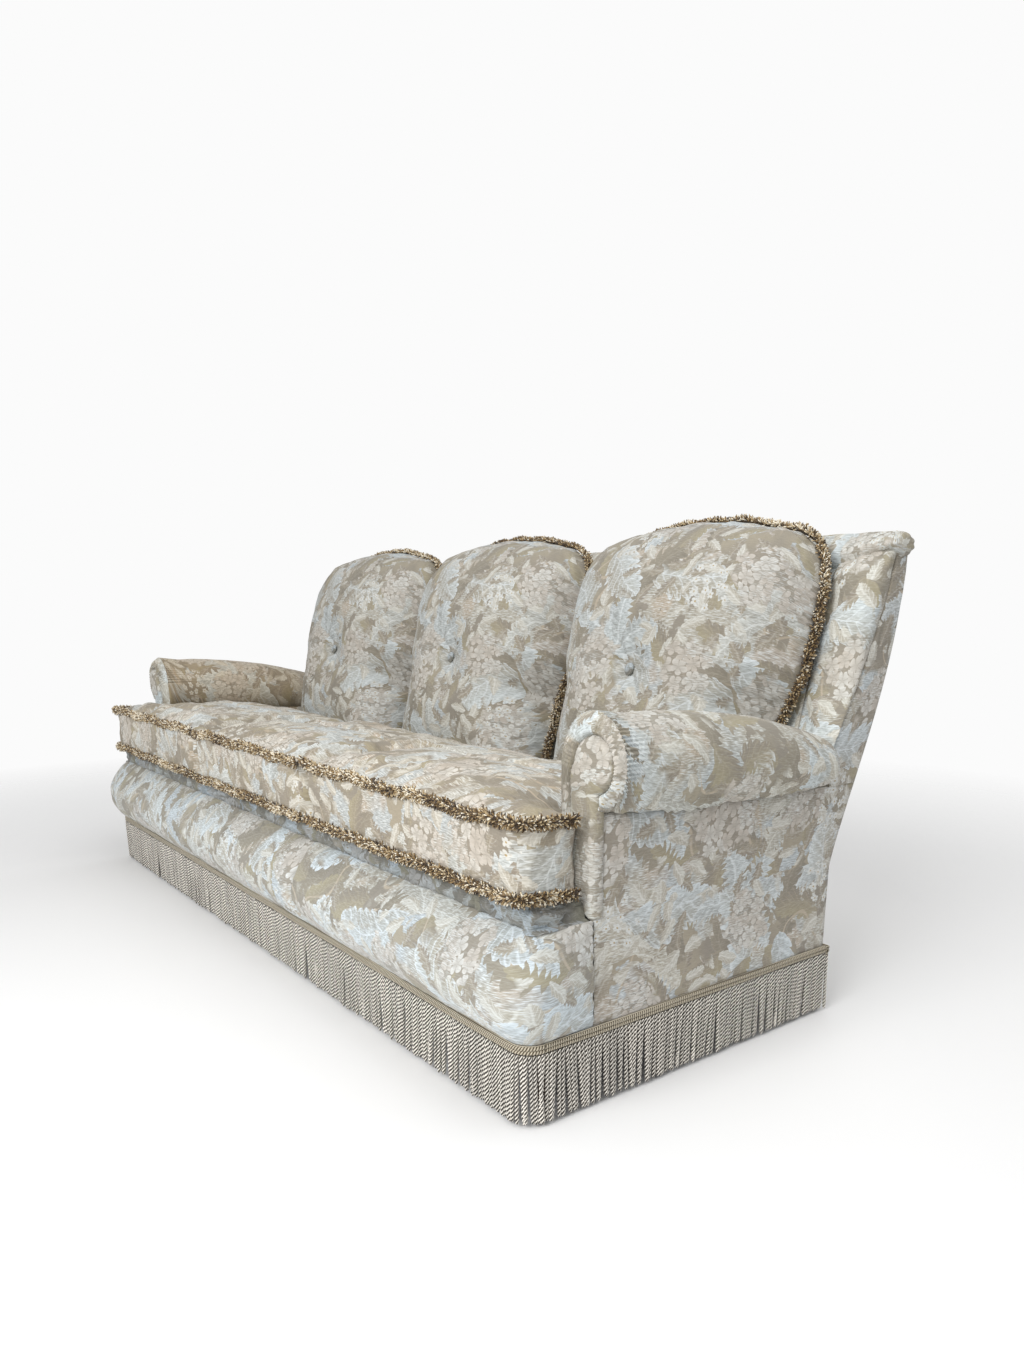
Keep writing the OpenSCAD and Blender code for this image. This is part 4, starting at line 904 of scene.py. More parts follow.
def deck_lip():
    """Front edge of the deck: a wrinkled band of tapestry over a roll edge,
    round both front corners as far as the arms, with a flange at its foot."""
    right = corner_turn(9)[1:] + [((HALF_W, y), (1, 0)) for y in np.linspace(CORNER_R, 131, 14)[1:]]
    left = [((-p[0], p[1]), (-q[0], q[1])) for p, q in reversed(right)]
    path = left + [((x, 0), (0, -1)) for x in np.linspace(-CORNER_X, CORNER_X, 500)] + right
    rings = []
    t = np.linspace(0, math.pi / 2, 7)
    for place, q in path:
        top = deck_z(place[1] + DECK_FRONT) - 0.4
        side = abs(q[0])
        inset = mix(28, 26, side)
        flange = mix(inset + 5, 13, side)
        inwards = np.concatenate([[flange, flange, inset + 1.5, inset - 1.5],
                                  inset + 9 - 10 * np.cos(t), [inset + 30, inset + 46, inset + 46]])
        height = np.concatenate([[294, 296.4, 298, 309], top - 13 + 13 * np.sin(t),
                                 [top, top - 0.6, BORDER_TOP]])
        rings.append(section(place, q, -inwards, height))
    rings = np.array(rings)
    outs = np.array([q for _, q in path])[:, None, :]
    run = np.arange(len(rings))[:, None] * 4.0
    z = rings[:, :, 2]
    band = np.clip((z - 295) / 5, 0, 1) * np.clip((deck_z(rings[:, :, 1]) + 1 - z) / 7, 0, 1)
    band[:, -3:] = 0
    folds = 3.0 * np.sin(run / 15 + z / 4 + 5 * ripple(rings, 150, 5)) + 3.0 * ripple(rings, 30, 6)
    crease = abs(np.sin(run / 17 - z / 9 + 2.5 * ripple(rings, 110, 8)))
    folds -= 8 * np.exp(-crease / 0.3)
    rings[:, :, :2] += outs * (folds * band)[:, :, None]
    return loft("deck_lip_cover", rings, centre=5)


def deck_pad():
    """Padded top of the deck behind its lip, with shallow quilted hollows."""
    rings = []
    for y in [*np.linspace(70, 133, 5), *np.linspace(135, 648, 36)]:
        half = 975 if y < ARM_FRONT else ARM_IN
        xs = np.linspace(-half, half, 101)
        top = deck_z(y) - 0.3 - 0.5 * (1 + ripple(columns(xs, y, 0), 90, 9))
        upper = columns(xs, y, np.minimum(top, deck_z(y) - 0.2))
        rings.append(np.concatenate([upper, columns(xs[::-1], y, deck_z(y) - (DECK_DEPTH + 0.2))]))
    return loft("deck_pad_cover", rings, centre=80)


# The deck lip's darkened tapestry is painted shade under the overhang of the seat cushions
dress_fixed(deck_lip(), DIM, "deck")
dress(deck_pad(), DECK, "base", ["deck"])


def side_skin(name, zs, y0, y1, seed, origin, count=60, top=None):
    """A panel of cloth over its card on the right side between the front
    edges y0 and the rear edges y1 at the heights zs. Where top is given, the
    rows above the border are drawn up to that height."""
    rows = []
    low = BORDER_TOP + 3
    for z, a, b in zip(zs, y0, y1):
        ys = np.linspace(a, b, count)
        if top is not None and z > BORDER_TOP + 1:
            z = mix(low, top(ys), (z - low) / (zs[-1] - low))
        rows.append(columns(float(PANEL_X), ys, z))
    rows = np.array(rows)
    edge = np.minimum(np.linspace(0, 1, count), np.linspace(1, 0, count))[None, :]
    soft = np.clip(edge * 12, 0, 1)
    slack = 1.1 + 0.8 * ripple(rows, 130, seed) + 0.35 * ripple(rows, 40, seed + 1)
    rows[:, :, 0] += soft * slack
    rows[:, :, 0] -= 2.5 * (1 - soft)
    if top is not None:
        # Tucked in under the roll of the arm
        beside = np.clip((ROLL_END + 2 - rows[:, :, 1]) / 12, 0, 1)
        rows[:, :, 0] -= 5 * beside * np.exp(-(rows[-1:, :, 2] - rows[:, :, 2]) / 7)
    return skin(name, rows, (-6, 0, 0), origin)


def panel_top(y):
    """Upper edge of the arm panel: under the roll, then under the side panel."""
    return np.where(y < ROLL_END + 2, arm_low(y) + 3, PANEL_TOP)


zs = np.concatenate([np.linspace(CLOTH_FOOT, BORDER_TOP, 40),
                     np.linspace(BORDER_TOP + 3, PANEL_TOP, 28)])
front = np.where(zs <= BORDER_TOP, ARM_FRONT, ARM_BACK)
arm_panel = side_skin("arm_panel_right_cover", zs, front, rear_y(zs), 31, (2.0, 0.3), top=panel_top)
dress_both(arm_panel, "arm_panel", (0.6, 0.2), PANEL)

# The cloth of the side panel carries on the pattern of the arm panel under it
zs = np.linspace(PANEL_TOP + 0.5, TOP_Z + 11, 70)
side_panel = side_skin("side_panel_right_cover", zs, wing_seam(zs), rear_y(zs), 37,
                       (2.266, 0.633), count=24)
dress_both(side_panel, "side_panel", (0.6, 0.2), PANEL)


def top_lift(x):
    """Height of the top roll as a share of its height in the middle: it
    tapers to a small scroll at both ends and keeps its level top."""
    t = np.clip((abs(x) - 935) / 85, 0, 1)
    return 1 - 0.46 * t * t * (3 - 2 * t)


def outside_back():
    """Cloth over card on the swept back, slightly slack between its edges."""
    xs = np.linspace(-BOARD_X, BOARD_X, 120)
    share = np.linspace(0, 1, 70)[:, None]
    z = mix(CLOTH_FOOT, TOP_Z + TOP_R + 4 - 2 * TOP_R * top_lift(xs)[None, :], share)
    grid = columns(xs[None, :], rear_y(z), z)
    soft = np.clip((BOARD_X - abs(xs)) / 40, 0, 1)[None, :]
    slack = 0.8 * ripple(grid, 260, 41) + 0.4 * ripple(grid, 60, 42)
    grid[:, :, 1] += soft * slack - 1.5 * (1 - soft)
    return skin("outside_back_cover", grid, (0, -6, 0), (4.0, 0.2))


dress_fixed(outside_back(), TAPESTRY, "outside_back")

# Arms


def roll_ring(y, k=1.0, n=190, reach=1.0):
    """Section of the arm roll over its crease, k times its full height. Its
    outer edge sags a little over the panel under it, most in the first half
    of its length. Below 1, reach draws that edge in to the panel."""
    low = arm_low(y)
    h = roll_h(y) * k
    a = np.linspace(180, -66, n)
    x = ARM_MID + ARM_HALF * np.cos(np.radians(a))
    x = np.where(x > PANEL_X, PANEL_X + (x - PANEL_X) * reach, x)
    sag = np.interp(y, [151, 209, 292, 382, 478, 583, 640, 672], [-3, 6, 10, 9, 6, 2, -3, -6])
    z = low + h / 2 + h / 2 * np.sin(np.radians(a)) - sag * np.clip((-a - 10) / 45, 0, 1)
    foot = [[PANEL_X + 2, y, min(z[-1] + 3, low + 6)], [PANEL_X + 1.8, y, low + 6.5],
            [BOARD_X, y, low + 7], [BOARD_X - 2, y, low]]
    return np.concatenate([[[ARM_IN, y, low]], columns(x, y, z), foot])


def arm_roll():
    """The roll from its gathers behind the facing to its drawn-in rear end."""
    depth = ROLL_END - ARM_BACK
    rings = [roll_ring(y) for y in ARM_BACK + depth * np.linspace(0, 0.92, 92)]
    for t in np.linspace(0, 1, 13)[1:]:
        turned = 1 - math.sqrt(1 - t * t)
        rings.append(roll_ring(ARM_BACK + depth * mix(0.92, 1, t), mix(1, 0.82, turned),
                               reach=mix(1, 0.12, turned)))
    rings = np.array(rings)
    centre = np.array([ARM_MID, 0, 0]) + rings.mean(axis=1, keepdims=True) * (0, 1, 1)
    out = unit((rings - centre) * (1, 0, 1))
    turn = np.linspace(0, 1, rings.shape[1])[None, :]
    y = rings[:, :, 1]
    height = 1.6 * ripple(rings, 170, 51) + 0.7 * ripple(rings, 52, 52)
    gathers = np.sin(turn * 300 + 3 * ripple(rings * (1, 0.3, 1), 60, 53))
    height += 2.7 * np.exp(-(y - ARM_BACK) / 38) * gathers
    height += 1.2 * np.exp(-(ROLL_END - y) / 20) * gathers
    under = np.clip((turn - 0.72) / 0.2, 0, 1)
    height += 2.8 * under * np.sin(y / 7 + 4 * ripple(rings, 80, 54) - turn * 9)
    height[:, :1] = 0
    height[:, -4:] = 0
    rings += out * height[:, :, None]
    return loft("arm_roll_right_cover", rings, origin=(0.2, 0.0), centre=90)


dress_both(arm_roll(), "arm_roll", (0.9, 0.5), TAPESTRY, GOLDEN)


def arm_band():
    """Cloth of the roll drawn in to the scroll in radial gathers, and the
    rounded inner edge of the arm under it."""
    ring = roll_ring(ARM_BACK, n=210)[:-1, ::2]
    outer = np.concatenate([columns(ARM_IN + 0.5, np.linspace(ARM_FOOT, CREASE, 81)[:-1]), ring])
    x, z = outer.T
    angle = np.arctan2(z - SCROLL_Z, x - SCROLL_X)
    inner = columns(SCROLL_X + (SCROLL_R - 1.5) * np.cos(angle),
                    SCROLL_Z + (SCROLL_R - 1.5) * np.sin(angle))
    past = (angle < math.radians(-72)) | (angle > math.radians(150))
    left = past & (x < ARM_MID)
    right = past & (x > ARM_MID)
    beside = np.interp(z, [ARM_FOOT, CREASE, CREASE + 113], [ARM_FOOT, CREASE, NECK[1]])
    inner[left] = columns(np.interp(beside, NECK, [COLUMN_X, COLUMN_X + 16]), beside)[left]
    inner[right] = columns(PANEL_X - 1.5, np.clip(z + 8, 455, SCROLL_FOOT))[right]
    run = run_lengths(outer)
    folds = np.sin(run / 1.2 + 2.2 * np.sin(run / 12) + 1.1 * np.sin(run / 6.5))
    folds *= np.clip((z - 400) / 60, 0.15, 1) * (0.75 + 0.25 * np.sin(run / 9))
    away = unit(outer - inner)
    rows = []
    for t in np.linspace(0, 1, 17):
        puff = 15.5 * (1 - (1 - min(1, t / 0.7)) ** 2.4)
        dip = 11 * max(0, (t - 0.72) / 0.28) ** 2.2
        flat = mix(outer, inner, t) + away * (folds * 1.2 * (1 - t))[:, None]
        y = ARM_BACK + 0.5 - puff + dip + folds * 2.9 * math.sin(math.pi * min(1, t + 0.12))
        y = y + np.where(right, 5 * min(1, t / 0.5), 0)
        rows.append(columns(flat[:, 0], np.minimum(y, ARM_BACK), flat[:, 1]))
    front = np.array(rows)
    back = front.copy()
    back[:, :, 1] = ARM_BACK + 1
    grid = np.concatenate([front, back[::-1]], axis=0).transpose(1, 0, 2)
    return loft("arm_band_right_cover", grid, origin=(0.5, 0.3), centre=14)


dress_both(arm_band(), "arm_band", (0.3, 0.4), TAPESTRY)


def arm_facing():
    """Padded facing: the scroll and the column under it, rounded at its edge."""
    scroll = SCROLL_Z - 40 + 81.8 * np.sin(np.linspace(0, math.pi / 2, 34))
    us = np.linspace(-1, 1, 31)
    rows = []
    for z in [*np.linspace(ARM_FOOT - 2, SCROLL_FOOT - 1, 56), *scroll]:
        reach = math.sqrt(max(0, SCROLL_R ** 2 - (z - SCROLL_Z) ** 2))
        left = SCROLL_X - reach
        right = SCROLL_X + reach
        if z < SCROLL_Z + 21:
            left = min(left, np.interp(z, NECK, [COLUMN_X + 1, COLUMN_X + 17.9]))
        if z < SCROLL_FOOT:
            right = PANEL_X
        rows.append(columns((left + right) / 2 + us * (right - left) / 2, 0, z))
    rows = np.array(rows)
    edge = np.concatenate([rows[:, 0], rows[::-1, -1], rows[-1, ::-1]])
    gap = np.full(rows.shape[:2], 60.0)
    for p in edge[::2]:
        gap = np.minimum(gap, np.linalg.norm(rows - p, axis=2))
    pad = 1 - np.clip(1 - gap / 11, 0, 1) ** 2.4
    rows[:, :, 1] = ARM_FRONT + 11 - 13.5 * pad
    rows[:, :, 1] -= (0.7 * ripple(rows, 70, 61) + 0.4 * ripple(rows, 25, 62)) * pad
    back = rows.copy()
    back[:, :, 1] = ARM_BACK
    rings = np.concatenate([rows, back[:, ::-1]], axis=1)
    return loft("arm_facing_right_cover", rings, origin=(2.6, 0.9), centre=15, upright=True)


dress_both(arm_facing(), "arm_facing", (0.2, 0.6), TAPESTRY)


def arm_pad():
    """Inner side of the arm: a padded sheet between the seat and the roll."""
    n = 34
    x = ARM_IN + 3.5 - 4.5 * np.sin(np.pi * np.linspace(0, 1, n)) ** 0.7
    rings = []
    for y in np.linspace(ARM_BACK, inside_y(deck_z(FOOT_Y)) - 1, 70):
        zs = np.linspace(deck_z(y) - DECK_DEPTH, arm_low(y) + 2, n)
        rings.append(np.concatenate([columns(x, y, zs), columns(ARM_IN + 27.0, y, zs[::-1])]))
    rings = np.array(rings)
    rings[:, 1:n - 1, 0] += 0.8 * ripple(rings[:, 1:n - 1], 90, 71)
    rings[:, :n, 0] = np.maximum(rings[:, :n, 0], ARM_IN - 0.6)
    return loft("arm_pad_right_cover", rings, origin=(1.4, 0.1), centre=17)


dress_both(arm_pad(), "arm_pad", (0.8, 0.3), WARM)

# Back


def rounded_ring(points, fixed=()):
    """A closed ring with its corners cut off three times over. The corners in
    fixed stay sharp."""
    points = np.asarray(points, float)
    sharp = np.zeros(len(points), bool)
    sharp[list(fixed)] = True
    for _ in range(3):
        out = []
        marks = []
        for i, p in enumerate(points):
            if sharp[i]:
                out.append(p)
                marks.append(True)
            else:
                out.append(p * 0.75 + points[i - 1] * 0.25)
                out.append(p * 0.75 + points[(i + 1) % len(points)] * 0.25)
                marks += [False, False]
        points, sharp = np.array(out), np.array(marks)
    return points


def wing_ring(z):
    """Section of the side roll at the height z, seen from above."""
    low = z < WING_Z
    face = inside_y(z)
    proud = mix(20, 10, np.clip((z - WING_Z) / (TOP_Z - WING_Z), 0, 1))
    front = ROLL_END + 3 if low else max(ROLL_END + 3, face - proud)
    lean = max(0, z - WING_BEND) * 0.55
    f = front + lean
    seam = float(wing_seam(z))
    back = max(float(rear_y(z)) - BOARD_DEPTH, seam + 3)
    w = PANEL_X - ARM_IN
    start = front if low else face + lean
    shoulder = front if low else face - proud * 0.25 + lean
    plan = [
        (ARM_IN, start), (ARM_IN + w * 0.15, shoulder), (ARM_IN + w * 0.4, f + proud * 0.1),
        (ARM_IN + w * 0.62, f), (PANEL_X - w * 0.16, f + proud * 0.2),
        (PANEL_X + 6, mix(f, seam, 0.45)), (PANEL_X + 1, seam - 4), (BOARD_X, seam),
        (BOARD_X, back), (ARM_IN, back),
    ]
    return rounded_ring([(x, y, z) for x, y in plan], fixed=(0, 7, 8, 9))


def side_roll():
    """The wing: a padded roll that grows out of the arm and leans back."""
    zs = [*np.linspace(PANEL_TOP + 0.5, 518, 12), *np.linspace(521, TOP_Z + 27, 62)]
    rings = np.array([wing_ring(z) for z in zs])
    x, y, z = rings.transpose(2, 0, 1)
    face = np.clip((x - ARM_IN) / 12, 0, 1) * (y < wing_seam(z) - 4)
    height = 2.2 * ripple(rings, 120, 81) + 1.5 * ripple(rings, 46, 82)
    height += 1.6 * np.exp(-abs(z - WING_Z - 6) / 24) * np.sin(x / 4.2)
    height += 2.0 * np.exp(-abs(TOP_Z - 6 - z) / 26) * np.sin(x / 4.6 + z / 9)
    rings[:, :, 1] -= height * face
    return loft("side_roll_right_cover", rings, origin=(1.9, 0.4), centre=20, upright=True)


dress_both(side_roll(), "side_roll", (0.7, 0.9), TAPESTRY)


def top_ring(x, k=1.0):
    """Section of the top roll: the round scroll and the swelling before it."""
    small = TOP_R * 0.56
    a = np.radians(np.linspace(-86, 100, 40))
    b = np.radians(np.linspace(104, 256, 26))
    y = np.concatenate([TOP_R * np.cos(a), small * np.cos(b) - TOP_R / 2])
    z = np.concatenate([TOP_R * np.sin(a), small * np.sin(b) + 1])
    return columns(x, TOP_Y + y * k, TOP_Z + z * k)


def top_roll():
    """The roll along the top of the back, closed and tapered at both ends."""
    reach = PANEL_X + 13
    level = reach - 20
    ends = [(reach - 20 * (1 - math.cos(t)), 0.3 + 0.7 * math.sin(t))
            for t in np.linspace(0.05, math.pi / 2, 10)[:-1]]
    xs = level * np.sin(np.linspace(math.pi / 2, -math.pi / 2, 190)) * 0.35
    xs += level * 0.65 * np.linspace(1, -1, 190)
    spots = ends + [(x, 1.0) for x in xs] + [(-x, k) for x, k in ends[::-1]]
    rings = np.array([top_ring(x, k) for x, k in spots])
    out = unit((rings - (0, TOP_Y, TOP_Z)) * (0, 1, 1))
    turn = np.arctan2(out[:, :, 2], out[:, :, 1])
    x = rings[:, :, 0]
    height = 1.5 * ripple(rings, 190, 91) + 0.7 * ripple(rings, 60, 92)
    height += 2.4 * np.exp(-(reach - abs(x)) / 26) * np.sin(turn * 9 + x / 12)
    rings += out * height[:, :, None]
    crown = TOP_Z + TOP_R
    rings[:, :, 2] = crown - (crown - rings[:, :, 2]) * top_lift(rings[:, :, 0])
    return loft("top_roll_cover", rings, origin=(0.3, 0.6), centre=30)


dress_fixed(top_roll(), TAPESTRY, "top_roll")


def inside_back():
    """Padded inside of the back, behind the loose cushions."""
    n = 60
    zs = np.linspace(deck_z(FOOT_Y) + 2.5, TOP_Z - TOP_R - 1, n)
    rings = []
    for x in np.linspace(-ARM_IN, ARM_IN, 110):
        over = [(x, TOP_Y - TOP_R * 0.65, TOP_Z - 10), (x, TOP_Y - TOP_R * 0.2, TOP_Z - 10)]
        rings.append(np.concatenate([columns(x, inside_y(zs), zs), over,
                                     columns(x, rear_y(zs[::-1]) - BOARD_DEPTH, zs[::-1])]))
    rings = np.array(rings)
    rings[:, 1:n - 1, 1] += 0.9 * (1 + ripple(rings[:, 1:n - 1], 150, 95))
    return loft("inside_back_cover", rings, origin=(0.0, 1.3), centre=30)


dress_fixed(inside_back(), TAPESTRY, "inside_back")

# Loose cushions

CLOTH_RECIPE = {
    "quality": 5, "mass": 0.3, "tension_stiffness": 12, "compression_stiffness": 12,
    "shear_stiffness": 4, "bending_stiffness": 0.4, "shrink_min": -0.045, "use_pressure": True,
    "uniform_pressure_force": 4.0, "vertex_group_mass": "sewn",
}
CLOTH_FRAMES = 20
# Metres: the size of the cloth's mesh, and how far the filling may push it
VOXEL = 0.008
PUSH = 0.012


def applied(obj):
    """Bakes an object's modifiers into its mesh."""
    graph = bpy.context.evaluated_depsgraph_get()
    done = bpy.data.meshes.new_from_object(obj.evaluated_get(graph))
    old = obj.data
    obj.modifiers.clear()
    obj.data = done
    bpy.data.meshes.remove(old)
    return obj


def sewn_cushion(name, node, pinned, shrink, seed):
    """The cushion's cover: its solid remeshed, made a little smaller, cut with
    some spare cloth and blown up from inside while its seams stay in place.
    pinned says which points, in millimetres from the trim, are sewn."""
    source = frame["nodes"][node]
    points = np.array([source.matrix_world @ v.co for v in source.data.vertices])
    obj = mesh_object(name, points, [tuple(p.vertices) for p in source.data.polygons])
    remesh = obj.modifiers.new("remesh", "REMESH")
    remesh.mode = "VOXEL"
    remesh.voxel_size = VOXEL
    remesh.use_smooth_shade = True
    applied(obj)
    co = coordinates(obj.data)
    middle = (co.min(axis=0) + co.max(axis=0)) / 2
    co = middle + (co - middle) * shrink
    co += np.random.default_rng(seed).normal(scale=0.0004, size=co.shape)
    put(obj.data, co)
    sewn = obj.vertex_groups.new(name="sewn")
    for index in np.nonzero(pinned(from_trim(co)))[0]:
        sewn.add([int(index)], 1.0, "REPLACE")
    cloth = obj.modifiers.new("cloth", "CLOTH")
    for key, value in CLOTH_RECIPE.items():
        setattr(cloth.settings, key, value)
    cloth.settings.effector_weights.gravity = 0
    cloth.collision_settings.use_collision = False
    cloth.point_cache.frame_start = 1
    cloth.point_cache.frame_end = CLOTH_FRAMES
    scene = bpy.context.scene
    for number in range(1, CLOTH_FRAMES + 1):
        scene.frame_set(number)
        obj.evaluated_get(bpy.context.evaluated_depsgraph_get())
    graph = bpy.context.evaluated_depsgraph_get()
    grown = coordinates(obj.evaluated_get(graph).data)
    obj.modifiers.clear()
    obj.vertex_groups.clear()
    scene.frame_set(1)
    moved = grown - co
    length = np.linalg.norm(moved, axis=1, keepdims=True)
    put(obj.data, co + moved * np.minimum(1, PUSH / np.maximum(length, 1e-9)))
    return obj


def subdivided(obj):
    """Splits each face in four and smooths the mesh."""
    smooth = obj.modifiers.new("smooth", "SUBSURF")
    smooth.levels = 1
    smooth.render_levels = 1
    applied(obj)
    obj.data.polygons.foreach_set("use_smooth", [True] * len(obj.data.polygons))


def set_cloth(obj, chart):
    """Gives each face corner its place in the cloth. chart takes the corner
    points and their face normals, in millimetres from the trim."""
    mesh = obj.data
    loops = field(mesh.loops, "vertex_index", kind=int)
    totals = field(mesh.polygons, "loop_total", kind=int)
    normals = np.repeat(field(mesh.polygons, "normal", 3), totals, axis=0)
    layer = mesh.uv_layers.get("cloth") or mesh.uv_layers.new(name="cloth")
    places = chart(from_trim(coordinates(mesh))[loops], normals)
    layer.data.foreach_set("uv", (places * MM).ravel())
    mesh.update()


def seat_chart(start):
    """Cushion cloth: the top cut flat, the boxing a strip round the sides."""
    def chart(p, n):
        top = abs(n[:, 2]) > 0.62
        across = np.where(abs(n[:, 1]) >= abs(n[:, 0]), p[:, 0], p[:, 1])
        u = np.where(top, p[:, 0], across + 700)
        v = np.where(top, p[:, 1] - np.where(n[:, 2] < 0, 900, 0), p[:, 2] + 1400)
        return columns(u + start[0], v + start[1])
    return chart


def seam_wave(x):
    """How the front seams of the seat cushions wander up and down, and how
    the middle cushion hangs lower than its neighbours at the splits."""
    wander = 2.2 * np.sin(x / 37.0) + 1.4 * np.sin(x / 16.3 + 1.0) + 0.8 * np.sin(x / 8.1)
    inner = -6.0 * np.minimum(abs(x) / 305, 1) ** 6
    outer = 3.0 * np.exp(-np.maximum(abs(x) - SEAT_OUTER, 0) / 30)
    return wander + np.where(abs(x) < 310, inner, outer)


def split_gap(x):
    """Distance of a seat cushion's points from the split next to them."""
    return np.where(abs(x) < SEAT_INNER + 1, SEAT_INNER - abs(x), abs(x) - SEAT_OUTER)


def outline_gap(p):
    """Distance in from the side faces of a seat cushion, near enough."""
    x = abs(p[:, 0])
    y = p[:, 1]
    outer = np.where(x < SEAT_INNER + 1, np.inf, np.where(y < EAR_Y, EAR_X, ARM_IN - 2) - x)
    side = np.minimum(split_gap(x), outer)
    return np.minimum(np.minimum(side, y - SEAT_FRONT), SEAT_REAR - y)


def seat_seams(p):
    """Sewn points of a seat cushion: along its bottom and its top seam."""
    above = p[:, 2] - deck_z(p[:, 1])
    edge = (abs(above - (SEAMS[0] - 2)) < 5) | (abs(above - SEAMS[1]) < 5)
    return edge & (outline_gap(p) < 7)


def finish_seat(obj, node, seed, start):
    """Soft folds on the crown, seams that wander, flat sides where it touches
    its neighbours and a flat foot where it rests."""
    subdivided(obj)
    low, high = [from_trim(c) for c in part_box(node)]
    p = from_trim(coordinates(obj.data))
    above = p[:, 2] - deck_z(p[:, 1])
    crown = np.clip((above - 112) / 20, 0, 1)
    flat = p * (0.45, 1.0, 0.2)
    folds = 1.6 * ripple(flat, 46, seed) + 2.6 * ripple(flat, 105, seed + 5)
    folds += 2.0 * ripple(p, 170, seed + 1)
    beside = outline_gap(p + (0, 400, 0) * (p[:, 1:2] < 250))
    p[:, 2] += crown * (folds - 1.5 - 5.0 * np.exp(-np.maximum(beside, 0) / 10))
    near_front = np.exp(-np.maximum(p[:, 1] - SEAT_FRONT, 0) / 30)
    p[:, 2] += seam_wave(p[:, 0]) * near_front * np.clip(above / 20, 0, 1)
    # The front corners at the splits are rounded off
    p[:, 1] += 11 * np.exp(-np.maximum(split_gap(p[:, 0]), 0) / 13) * near_front
    wall = (p[:, 1] < 40) & (above > 14) & (above < 112)
    p[:, 1] += np.where(wall, 1.6 * ripple(p, 75, seed + 2) + 0.8 * ripple(p, 26, seed + 3), 0)
    p[:, 2] = np.maximum(p[:, 2], deck_z(p[:, 1]) + FREE)
    p[:, :2] = np.clip(p[:, :2], low[:2] + FREE, high[:2] - FREE)
    # The ear's step round the arm
    over_x = abs(p[:, 0]) - EAR_STEP_X
    over_y = p[:, 1] - EAR_Y + 0.5
    past = (over_x > 0) & (over_y > 0)
    p[:, 0] = np.where(past & (over_x < over_y), np.sign(p[:, 0]) * EAR_STEP_X, p[:, 0])
    p[:, 1] = np.where(past & (over_x >= over_y), EAR_Y - 0.5, p[:, 1])
    put(obj.data, placed(p))
    set_cloth(obj, seat_chart(start))


seat_mid = sewn_cushion("seat_mid_cover", "seat_cushion_mid", seat_seams, 0.99, 101)
seat_right = sewn_cushion("seat_right_cover", "seat_cushion_right", seat_seams, 0.992, 111)
seat_left = mirrored(seat_right, "seat_left_cover")
for obj, side, seed, start in (
        (seat_mid, "mid", 103, (0, 0)), (seat_right, "right", 113, (260, 130)),
        (seat_left, "left", 119, (-300, 420))):
    finish_seat(obj, f"seat_cushion_{side}", seed, start)
    dress(obj, SEAT, f"seat_{side}", [f"seat_cushion_{side}"])


# Places on a back cushion: x across, w forwards from its edge seam, v up its slope


def from_slope(p, pitch):
    """Local points of a back cushion as points from the trim."""
    forward = PILLOW_SEAM + p[..., 1]
    return columns(p[..., 0] + pitch,
                   FOOT_Y + p[..., 2] * math.sin(RAKE) - forward * math.cos(RAKE),
                   PILLOW_DROP + p[..., 2] * math.cos(RAKE) + forward * math.sin(RAKE))


def to_slope(p, pitch):
    """Points from the trim as local points of a back cushion."""
    dy = p[..., 1] - FOOT_Y
    dz = p[..., 2] - PILLOW_DROP
    v = dy * math.sin(RAKE) + dz * math.cos(RAKE)
    w = -dy * math.cos(RAKE) + dz * math.sin(RAKE) - PILLOW_SEAM
    return columns(p[..., 0] - pitch, w, v)


def pillow_half():
    """Right half of a back cushion's outline, from the middle of its foot."""
    foot = PILLOW_FOOT / 2
    wide = PILLOW_W / 2
    r = PILLOW_CORNER / 3
    top = PILLOW_H - 24
    cx = wide - PILLOW_CORNER
    cz = top - PILLOW_CORNER
    out = [(0, 0), (foot / 2, 0)]
    out += [(foot - r + r * math.cos(a), r + r * math.sin(a))
            for a in np.radians([-90, -60, -30, 0])]
    out += [(mix(foot, wide, 0.1), ARM_V)] + [(wide, mix(ARM_V, cz, t)) for t in (0.35, 0.7)]
    out += [(cx + PILLOW_CORNER * math.cos(a), cz + PILLOW_CORNER * math.sin(a))
            for a in np.radians([0, 22.5, 45, 67.5])]
    out += [(cx, top), (cx / 2, top + 18), (0, PILLOW_H)]
    return np.array(out)


HALF_OUTLINE = pillow_half()
WHOLE_OUTLINE = np.concatenate([HALF_OUTLINE, HALF_OUTLINE[-2:0:-1] * (-1, 1)])


def outline_share(x, v):
    """How far out a point lies: 0 at the button, 1 on the edge seam."""
    ring = WHOLE_OUTLINE - (0, BUTTON_V)
    ring = ring[np.argsort(np.arctan2(ring[:, 1], ring[:, 0]))]
    t = np.linspace(0, 1, 12, endpoint=False)[None, :, None]
    dense = mix(ring[:, None], np.roll(ring, -1, axis=0)[:, None], t).reshape(-1, 2)
    angle = np.arctan2(dense[:, 1], dense[:, 0])
    order = np.argsort(angle)
    reach = np.interp(np.arctan2(v - BUTTON_V, x), angle[order],
                      np.hypot(dense[:, 0], dense[:, 1])[order], period=2 * math.pi)
    return np.hypot(x, v - BUTTON_V) / reach


# The swollen front of a back cushion from its button to its seam, and the
# length of cloth over it, as a share of the flat way
SHARES = np.linspace(0, 1, 200)
SWELL = PILLOW_FRONT * (1 - SHARES ** 2.6) ** 0.6
UNROLLED = np.concatenate([[0], np.cumsum(np.hypot(np.diff(SHARES) * 300, np.diff(SWELL)))]) / 300


